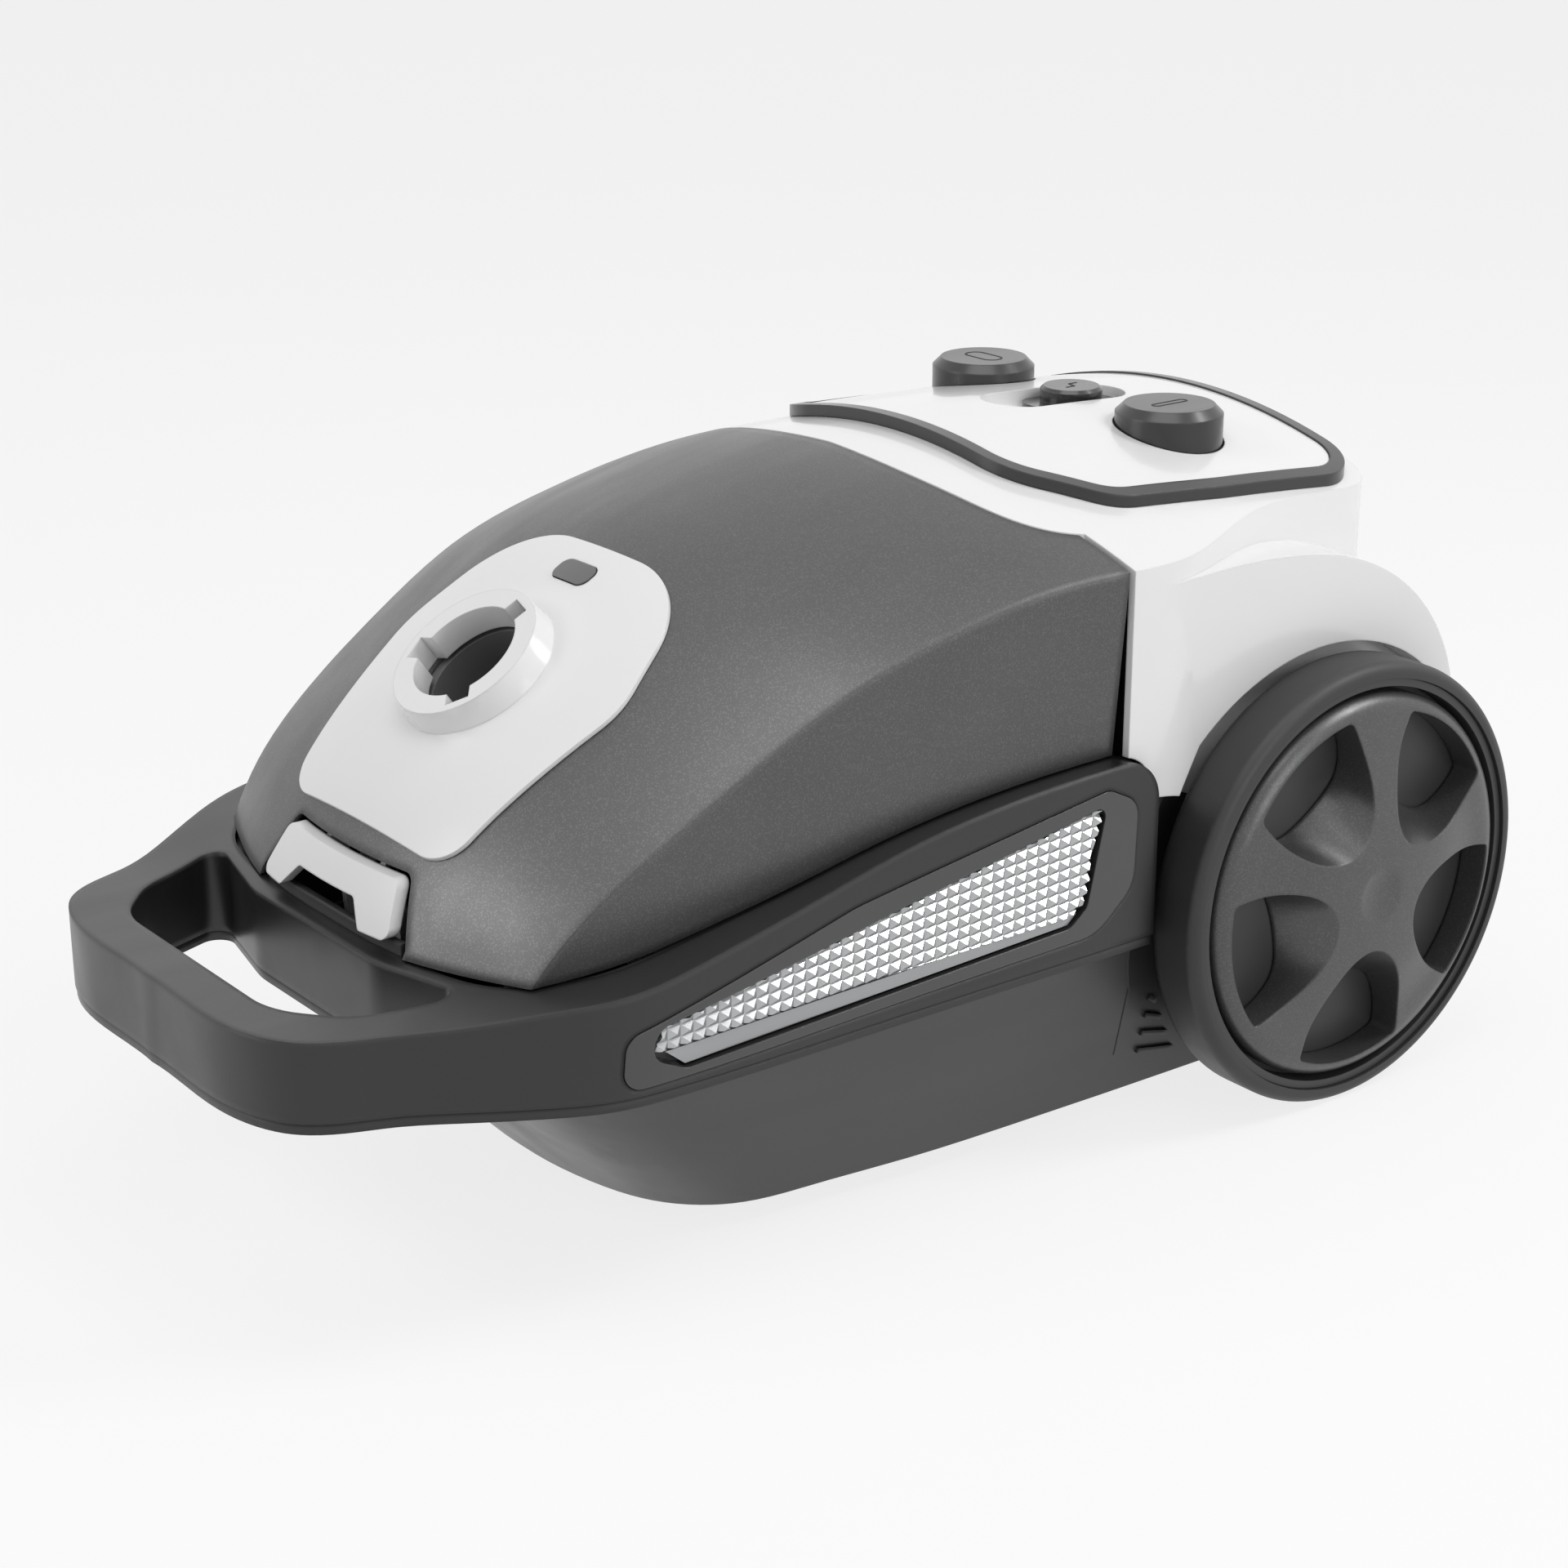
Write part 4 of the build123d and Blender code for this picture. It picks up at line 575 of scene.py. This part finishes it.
# ------------------------------------------------------------------ side lights
@dataclass
class FacetedLens:
    """Clear side lens: a field of small pyramids over a plain lower strip."""

    shelf: FinishShelf
    pitch: float = 5.0
    row: float = 4.1
    columns: int = 40
    rows: int = 11
    middle: tuple = (-44.0, 118.0)
    slope: float = 0.0325
    outline: tuple = ((-139, 98), (-136, 105.5), (49.5, 137.6), (42, 103.6), (37, 100.8))
    strip: tuple = ((-135, 97.2), (-127.5, 91.2), (35.5, 97.6), (39.5, 101.0))
    strip_cuts: int = 10
    strip_rise: float = 0.2
    face: float = 126.3
    bend_from: float = -130.0
    bend: float = 0.0052
    depth: float = 1.9
    sheet: float = 2.2

    def side_x(self, y: float) -> float:
        """Return the x of the machine's side at a place along its length."""
        ahead = max(self.bend_from - y, 0.0)
        return self.face - self.bend * ahead * ahead

    def clip(self, form: bmesh.types.BMesh, corners: tuple) -> None:
        """Cut a sheet in the (y, z) plane to a convex outline.

        Args:
            form: The sheet, in millimetres.
            corners: Outline corners, clockwise seen from +X.
        """
        for index, (y, z) in enumerate(corners):
            after = corners[(index + 1) % len(corners)]
            outward = Vector((0.0, -(after[1] - z), after[0] - y))
            geometry = form.verts[:] + form.edges[:] + form.faces[:]
            bmesh.ops.bisect_plane(
                form, geom=geometry, dist=0.001, plane_co=(0.0, y, z), plane_no=outward,
                clear_outer=True,
            )

    def pyramids(self) -> bmesh.types.BMesh:
        """Build the field of pyramids, still flat along the machine.

        Returns:
            The field as a mesh, in millimetres.
        """
        form = bmesh.new()
        bmesh.ops.create_grid(form, x_segments=self.columns, y_segments=self.rows, size=0.5)
        along, height = self.middle
        for vertex in form.verts:
            across = vertex.co.x * self.columns * self.pitch
            up = vertex.co.y * self.rows * self.row
            vertex.co = Vector((0.0, across + along, up + height + self.slope * across))
        poked = bmesh.ops.poke(form, faces=form.faces[:])
        for tip in poked["verts"]:
            tip.co.x += self.depth
        self.clip(form, self.outline)
        return form

    def add_strip(self, form: bmesh.types.BMesh) -> None:
        """Add the plain strip below the pyramids.

        Args:
            form: The field of pyramids, still flat.
        """
        strip = bmesh.new()
        strip.faces.new([strip.verts.new((self.strip_rise, y, z)) for y, z in self.strip])
        bmesh.ops.subdivide_edges(
            strip, edges=strip.edges[:], cuts=self.strip_cuts, use_grid_fill=True
        )
        mesh = bpy.data.meshes.new("strip")
        strip.to_mesh(mesh)
        strip.free()
        form.from_mesh(mesh)
        bpy.data.meshes.remove(mesh)

    def build(self, side: int) -> bpy.types.Object:
        """Build one lens with its strip and dress it.

        Args:
            side: 1 for +X, -1 for the other side.

        Returns:
            The lens piece.
        """
        form = self.pyramids()
        self.add_strip(form)
        for vertex in form.verts:
            vertex.co.x += self.side_x(vertex.co.y) - self.depth
        bmesh.ops.recalc_face_normals(form, faces=form.faces)
        if sum(face.normal.x for face in form.faces) < 0:
            bmesh.ops.reverse_faces(form, faces=form.faces)
        bmesh.ops.solidify(form, geom=form.faces[:], thickness=self.sheet)
        bmesh.ops.transform(
            form, matrix=Matrix.Diagonal((side * MM, MM, MM, 1.0)), verts=form.verts
        )
        if side < 0:
            bmesh.ops.reverse_faces(form, faces=form.faces)
        name = "side_lens_left" if side > 0 else "side_lens_right"
        lens = add_piece(name, form, self.shelf.get("clear_lens"), "chassis")
        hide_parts("light_lenses")
        return lens


# ------------------------------------------------------------------ dust bag
@dataclass
class DustBag:
    """Half-filled cloth bag that hangs from its card collar."""

    shelf: FinishShelf
    low: tuple = (-70.0, -80.0, 67.0)
    high: tuple = (70.0, 49.0, 141.0)
    sag: float = 3.5
    cuts: int = 23
    corner_pull: float = 0.13
    corner_power: int = 6
    bulge_scale: float = 0.045
    crease_scale: float = 0.11
    smoothing: int = 2

    def rounding(self, place: Vector) -> float:
        """Return how far a place on the unit cube is drawn in, most at its edges."""
        x, y, z = (abs(2 * value) ** self.corner_power for value in place)
        return 1.0 - self.corner_pull * (x * y + x * z + y * z)

    def build(self) -> bpy.types.Object:
        """Model the bag with bulges and creases.

        Returns:
            The bag piece.
        """
        form = bmesh.new()
        bmesh.ops.create_cube(form, size=1.0)
        size = [high - low for low, high in zip(self.low, self.high)]
        middle = Vector([(high + low) / 2 for low, high in zip(self.low, self.high)])
        bmesh.ops.subdivide_edges(form, edges=form.edges[:], cuts=self.cuts, use_grid_fill=True)
        for vertex in form.verts:
            place = Vector([value * length for value, length in zip(vertex.co, size)])
            place = place * self.rounding(vertex.co) + middle
            fold = noise.noise(place * self.bulge_scale)
            fold += 0.5 * noise.noise(place * self.crease_scale)
            outward = (place - middle).normalized()
            vertex.co = place - outward * self.sag * (1.0 + fold)
        for _ in range(self.smoothing):
            bmesh.ops.smooth_vert(
                form, verts=form.verts, factor=0.5, use_axis_x=True, use_axis_y=True,
                use_axis_z=True,
            )
        bmesh.ops.transform(form, matrix=Matrix.Scale(MM, 4), verts=form.verts)
        shade_by_angle(form, 60.0)
        piece = add_piece(
            "dust_bag_cloth", form, self.shelf.get("bag_fabric"), "chassis"
        )
        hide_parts("dust_bag")
        return piece


# ------------------------------------------------------------------ trim on the tub
@dataclass
class TubTrim:
    """Shut line and slatted vents on the tub's sides, laid on its real surface."""

    shelf: FinishShelf
    seam_y: float = 83.5
    seam_reach: tuple = (26.0, 129.0)
    seam_width: float = 0.7
    seam_rise: float = 0.05
    vent: tuple = ((95.0, 52.0), (116.0, 17.0), (95.0, 21.0))
    slats: int = 4
    slat_width: float = 2.0
    slat_rise: float = 1.3
    slat_reach: float = 0.92
    bend_step: float = 4.0
    sink: float = 0.25
    far: float = 200.0

    def surface(self) -> BVHTree:
        """Read the tub's surface, for laying trim on it.

        Returns:
            The surface, in metres.
        """
        source = frame["nodes"]["lower_body"]
        form = bmesh.new()
        form.from_mesh(source.data)
        form.transform(source.matrix_world)
        tree = BVHTree.FromBMesh(form)
        form.free()
        return tree

    def band(self, start: tuple, end: tuple, width: float) -> bmesh.types.BMesh:
        """Build a flat band between two places, with cross lines to bend it along.

        Args:
            start: First (y, z) in millimetres.
            end: Last (y, z) in millimetres.
            width: Width of the band.

        Returns:
            The band as a mesh, in millimetres.
        """
        run = Vector((0.0, end[0] - start[0], end[1] - start[1]))
        across = Vector((0.0, -run.z, run.y)).normalized() * width
        middle = Vector((0.0, *start)) + run / 2
        form = bmesh.new()
        steps = max(int(run.length / self.bend_step), 1)
        bmesh.ops.create_grid(form, x_segments=steps, y_segments=1, size=0.5)
        for vertex in form.verts:
            vertex.co = middle + run * vertex.co.x + across * vertex.co.y
        return form

    def lay(
        self, form: bmesh.types.BMesh, tree: BVHTree, side: int, rise: float
    ) -> bmesh.types.BMesh:
        """Lay a flat shape on the tub's side and give it a thickness.

        Args:
            form: Flat shape in the (y, z) plane, in millimetres.
            tree: The tub's surface, in metres.
            side: 1 for +X, -1 for the other side.
            rise: How far its outer face stands off the tub.

        Returns:
            The same mesh, in metres.
        """
        raised = bmesh.ops.extrude_face_region(form, geom=form.faces[:])
        outer = {item for item in raised["geom"] if isinstance(item, bmesh.types.BMVert)}
        bmesh.ops.transform(form, matrix=Matrix.Scale(MM, 4), verts=form.verts)
        for vertex in form.verts:
            start = Vector((side * self.far * MM, vertex.co.y, vertex.co.z))
            place = tree.ray_cast(start, Vector((-side, 0.0, 0.0)))[0]
            reach = rise if vertex in outer else -self.sink
            vertex.co.x = place.x + side * reach * MM
        bmesh.ops.recalc_face_normals(form, faces=form.faces)
        return form

    def slat_ends(self, index: int) -> tuple:
        """Place a slat between the vent's upright edge and its slanted edge.

        Args:
            index: Number of the slat, from the lowest.

        Returns:
            Its two ends as (y, z) in millimetres.
        """
        top, tip, foot = (Vector(corner) for corner in self.vent)
        share = (index + 0.5) / self.slats
        return tuple(foot.lerp(top, share)), tuple(tip.lerp(top, share * self.slat_reach))

    def build(self) -> None:
        """Build the shut line and the vent on both sides."""
        tree = self.surface()
        for side, word in ((1, "left"), (-1, "right")):
            low, high = ((self.seam_y, z) for z in self.seam_reach)
            seam = self.band(low, high, self.seam_width)
            add_piece(
                f"tub_shut_line_{word}", self.lay(seam, tree, side, self.seam_rise),
                self.shelf.get("mark_grey"), "chassis",
            )
            for index in range(self.slats):
                slat = self.band(*self.slat_ends(index), self.slat_width)
                add_piece(
                    f"vent_slat_{word}_{index + 1}",
                    self.lay(slat, tree, side, self.slat_rise),
                    self.shelf.get("bumper_black"), "chassis",
                )


# ------------------------------------------------------------------ marks on the controls
class Mark(Enum):
    """Generic signs moulded on the controls."""

    BAR = "bar"
    OVAL = "oval"
    ZIGZAG = "zigzag"


@dataclass
class ControlMarks:
    """Shallow signs on the pedals and the slider."""

    shelf: FinishShelf
    pedal_x: float = 52.0
    pedal_y: float = 146.0
    pedal_top: float = 253.5
    slider_y: float = 145.0
    slider_top: float = 251.2
    bar: tuple = (4.2, 17.0)
    oval: tuple = (18.0, 9.0)
    line: float = 0.9
    zigzag: tuple = ((-4.4, -2.0), (-0.4, -2.0), (0.6, 2.0), (4.4, 2.0))
    zigzag_line: float = 1.0
    lift: float = 0.01
    rise: float = 0.08
    segments: int = 32

    def outline(self, width: float, length: float) -> bmesh.types.BMesh:
        """Draw the outline of a rounded bar, flat on z = 0.

        Args:
            width: Size along X.
            length: Size along Y.

        Returns:
            The flat outline as a mesh.
        """
        form = bmesh.new()
        radius = min(width, length) / 2
        bmesh.ops.create_circle(form, cap_ends=True, radius=radius, segments=self.segments)
        for vertex in form.verts:
            if width > length:
                vertex.co.x += math.copysign(width / 2 - radius, vertex.co.x)
            else:
                vertex.co.y += math.copysign(length / 2 - radius, vertex.co.y)
        inner = bmesh.ops.inset_region(
            form, faces=form.faces[:], thickness=self.line, use_boundary=True,
            use_even_offset=True,
        )
        ring = set(inner["faces"])
        bmesh.ops.delete(form, geom=[f for f in form.faces if f not in ring], context="FACES")
        return form

    def stepped_line(self) -> bmesh.types.BMesh:
        """Draw a line that steps up in the middle, flat on z = 0.

        Returns:
            The flat line as a mesh.
        """
        form = bmesh.new()
        points = [Vector((*point, 0.0)) for point in self.zigzag]
        for first, last in zip(points, points[1:]):
            run = last - first
            side = Vector((-run.y, run.x, 0.0)).normalized() * self.zigzag_line / 2
            corners = [first - side, last - side, last + side, first + side]
            form.faces.new([form.verts.new(corner) for corner in corners])
        return form

    def place(
        self, form: bmesh.types.BMesh, name: str, body: str, at: Vector, turn: float
    ) -> bpy.types.Object:
        """Give a flat sign its thickness and put it on its control.

        Args:
            form: The flat sign, in millimetres.
            name: Name of the piece.
            body: The body that it moves with.
            at: Centre of the sign, in millimetres.
            turn: Turn about Z in degrees.

        Returns:
            The sign as a piece.
        """
        raised = bmesh.ops.extrude_face_region(form, geom=form.faces[:])
        tops = [item for item in raised["geom"] if isinstance(item, bmesh.types.BMVert)]
        bmesh.ops.translate(form, vec=(0.0, 0.0, self.rise), verts=tops)
        bmesh.ops.recalc_face_normals(form, faces=form.faces)
        matrix = Matrix.Scale(MM, 4) @ Matrix.Translation(at) @ Matrix.Rotation(
            math.radians(turn), 4, "Z"
        )
        bmesh.ops.transform(form, matrix=matrix, verts=form.verts)
        return add_piece(name, form, self.shelf.get("mark_grey"), body)

    def build(self, mark: Mark) -> bpy.types.Object:
        """Build one sign.

        Args:
            mark: Which sign to build.

        Returns:
            The sign as a piece.
        """
        if mark is Mark.BAR:
            at = Vector((self.pedal_x, self.pedal_y, self.pedal_top + self.lift))
            return self.place(self.outline(*self.bar), "power_sign", "power_button", at, 0)
        if mark is Mark.OVAL:
            at = Vector((-self.pedal_x, self.pedal_y, self.pedal_top + self.lift))
            return self.place(self.outline(*self.oval), "rewind_sign", "rewind_button", at, 0)
        at = Vector((0.0, self.slider_y, self.slider_top + self.lift))
        return self.place(self.stepped_line(), "slider_sign", "slider_body", at, 90)


# ------------------------------------------------------------------ studio
@dataclass(frozen=True)
class Lamp:
    """One soft square lamp: where it hangs, its side in metres and its power in watts."""

    name: str
    place: tuple
    size: float
    power: float


@dataclass
class Studio:
    """Pale floor, soft lamps, white surround and the camera."""

    azimuth: float = 52.526
    elevation: float = 19.756
    position: tuple = (0.85366, -0.64696, 0.50649)
    lens: float = 71.17
    sensor: float = 36.0
    fill: float = 0.34
    floor_size: float = 12.0
    floor_drop: float = 0.6
    floor_tone: float = 0.86
    floor_glow: float = 0.8
    aim: tuple = (0.0, 0.0, 0.12)
    lamps: tuple = (
        Lamp("overhead", (0.3, -0.3, 1.7), 1.1, 8.0),
        Lamp("front_left", (-0.7, -1.7, 1.1), 0.9, 8.5),
        Lamp("right_side", (1.9, 0.2, 0.8), 0.9, 6.5),
        Lamp("crease", (0.75, 1.0, 1.3), 0.5, 9.5),
    )

    @staticmethod
    def white_for_camera(tree: bpy.types.ShaderNodeTree) -> bpy.types.NodeSocket:
        """Tell the rays that should see a white surround from the rest.

        Args:
            tree: The nodes to add to.

        Returns:
            1 for camera, mirror and glass rays, and 0 for the rest.
        """
        path = tree.nodes.new("ShaderNodeLightPath")
        total = path.outputs["Is Camera Ray"]
        for ray in ("Is Glossy Ray", "Is Transmission Ray"):
            either = tree.nodes.new("ShaderNodeMath")
            either.operation = "MAXIMUM"
            tree.links.new(total, either.inputs[0])
            tree.links.new(path.outputs[ray], either.inputs[1])
            total = either.outputs[0]
        return total

    def world(self) -> None:
        """Set up a white surround that lights the object only softly."""
        world = bpy.data.worlds.new("surround")
        bpy.context.scene.world = world
        world.use_nodes = True
        tree = world.node_tree
        background = tree.nodes["Background"]
        background.inputs["Color"].default_value = (1.0, 1.0, 1.0, 1.0)
        strength = tree.nodes.new("ShaderNodeMapRange")
        strength.inputs["To Min"].default_value = self.fill
        strength.inputs["To Max"].default_value = 1.0
        tree.links.new(self.white_for_camera(tree), strength.inputs["Value"])
        tree.links.new(strength.outputs["Result"], background.inputs["Strength"])

    def floor(self) -> None:
        """Lay a large pale floor that keeps a faint shadow."""
        form = bmesh.new()
        bmesh.ops.create_grid(form, x_segments=1, y_segments=1, size=self.floor_size)
        mesh = bpy.data.meshes.new("studio_floor")
        form.to_mesh(mesh)
        form.free()
        floor = bpy.data.objects.new("studio_floor", mesh)
        floor.location.z = -self.floor_drop * MM
        bpy.context.scene.collection.objects.link(floor)
        material = bpy.data.materials.new("studio_floor")
        material.use_nodes = True
        tree = material.node_tree
        matt = tree.nodes["Principled BSDF"]
        matt.inputs["Base Color"].default_value = (*[self.floor_tone] * 3, 1.0)
        matt.inputs["Roughness"].default_value = 0.9
        glow = tree.nodes.new("ShaderNodeEmission")
        share = tree.nodes.new("ShaderNodeMath")
        share.operation = "MULTIPLY"
        share.inputs[1].default_value = self.floor_glow
        tree.links.new(self.white_for_camera(tree), share.inputs[0])
        mix = tree.nodes.new("ShaderNodeMixShader")
        tree.links.new(share.outputs[0], mix.inputs["Fac"])
        tree.links.new(matt.outputs["BSDF"], mix.inputs[1])
        tree.links.new(glow.outputs["Emission"], mix.inputs[2])
        tree.links.new(mix.outputs["Shader"], tree.nodes["Material Output"].inputs["Surface"])
        mesh.materials.append(material)

    def hang(self, lamp: Lamp) -> None:
        """Hang a lamp so that it faces the object.

        Args:
            lamp: The lamp to hang.
        """
        data = bpy.data.lights.new(lamp.name, "AREA")
        data.size = lamp.size
        data.energy = lamp.power
        light = bpy.data.objects.new(lamp.name, data)
        light.location = lamp.place
        facing = Vector(self.aim) - Vector(lamp.place)
        light.rotation_euler = facing.to_track_quat("-Z", "Y").to_euler()
        bpy.context.scene.collection.objects.link(light)

    def camera(self) -> None:
        """Place the camera and make it the scene's own."""
        data = bpy.data.cameras.new("view")
        data.sensor_width = self.sensor
        data.lens = self.lens
        camera = bpy.data.objects.new("view", data)
        turn, rise = math.radians(self.azimuth), math.radians(self.elevation)
        back = Vector((
            math.sin(turn) * math.cos(rise), -math.cos(turn) * math.cos(rise), math.sin(rise)
        ))
        right = Vector((math.cos(turn), math.sin(turn), 0.0))
        matrix = Matrix((right, back.cross(right), back)).transposed().to_4x4()
        matrix.translation = self.position
        camera.matrix_world = matrix
        bpy.context.scene.collection.objects.link(camera)
        bpy.context.scene.camera = camera

    def build(self) -> None:
        """Set up the whole studio."""
        self.camera()
        self.world()
        self.floor()
        for lamp in self.lamps:
            self.hang(lamp)
        bpy.context.scene.view_settings.view_transform = "Standard"


def main() -> None:
    """Build the studio and every piece."""
    Studio().build()
    shelf = FinishShelf()
    lens = FacetedLens(shelf)
    for side in (1, -1):
        lens.build(side)
    DustBag(shelf).build()
    TubTrim(shelf).build()
    marks = ControlMarks(shelf)
    for mark in Mark:
        marks.build(mark)
    CarriedShells(shelf, replaced={"light_lenses", "dust_bag"}).build()


if __name__ == "__main__":
    main()
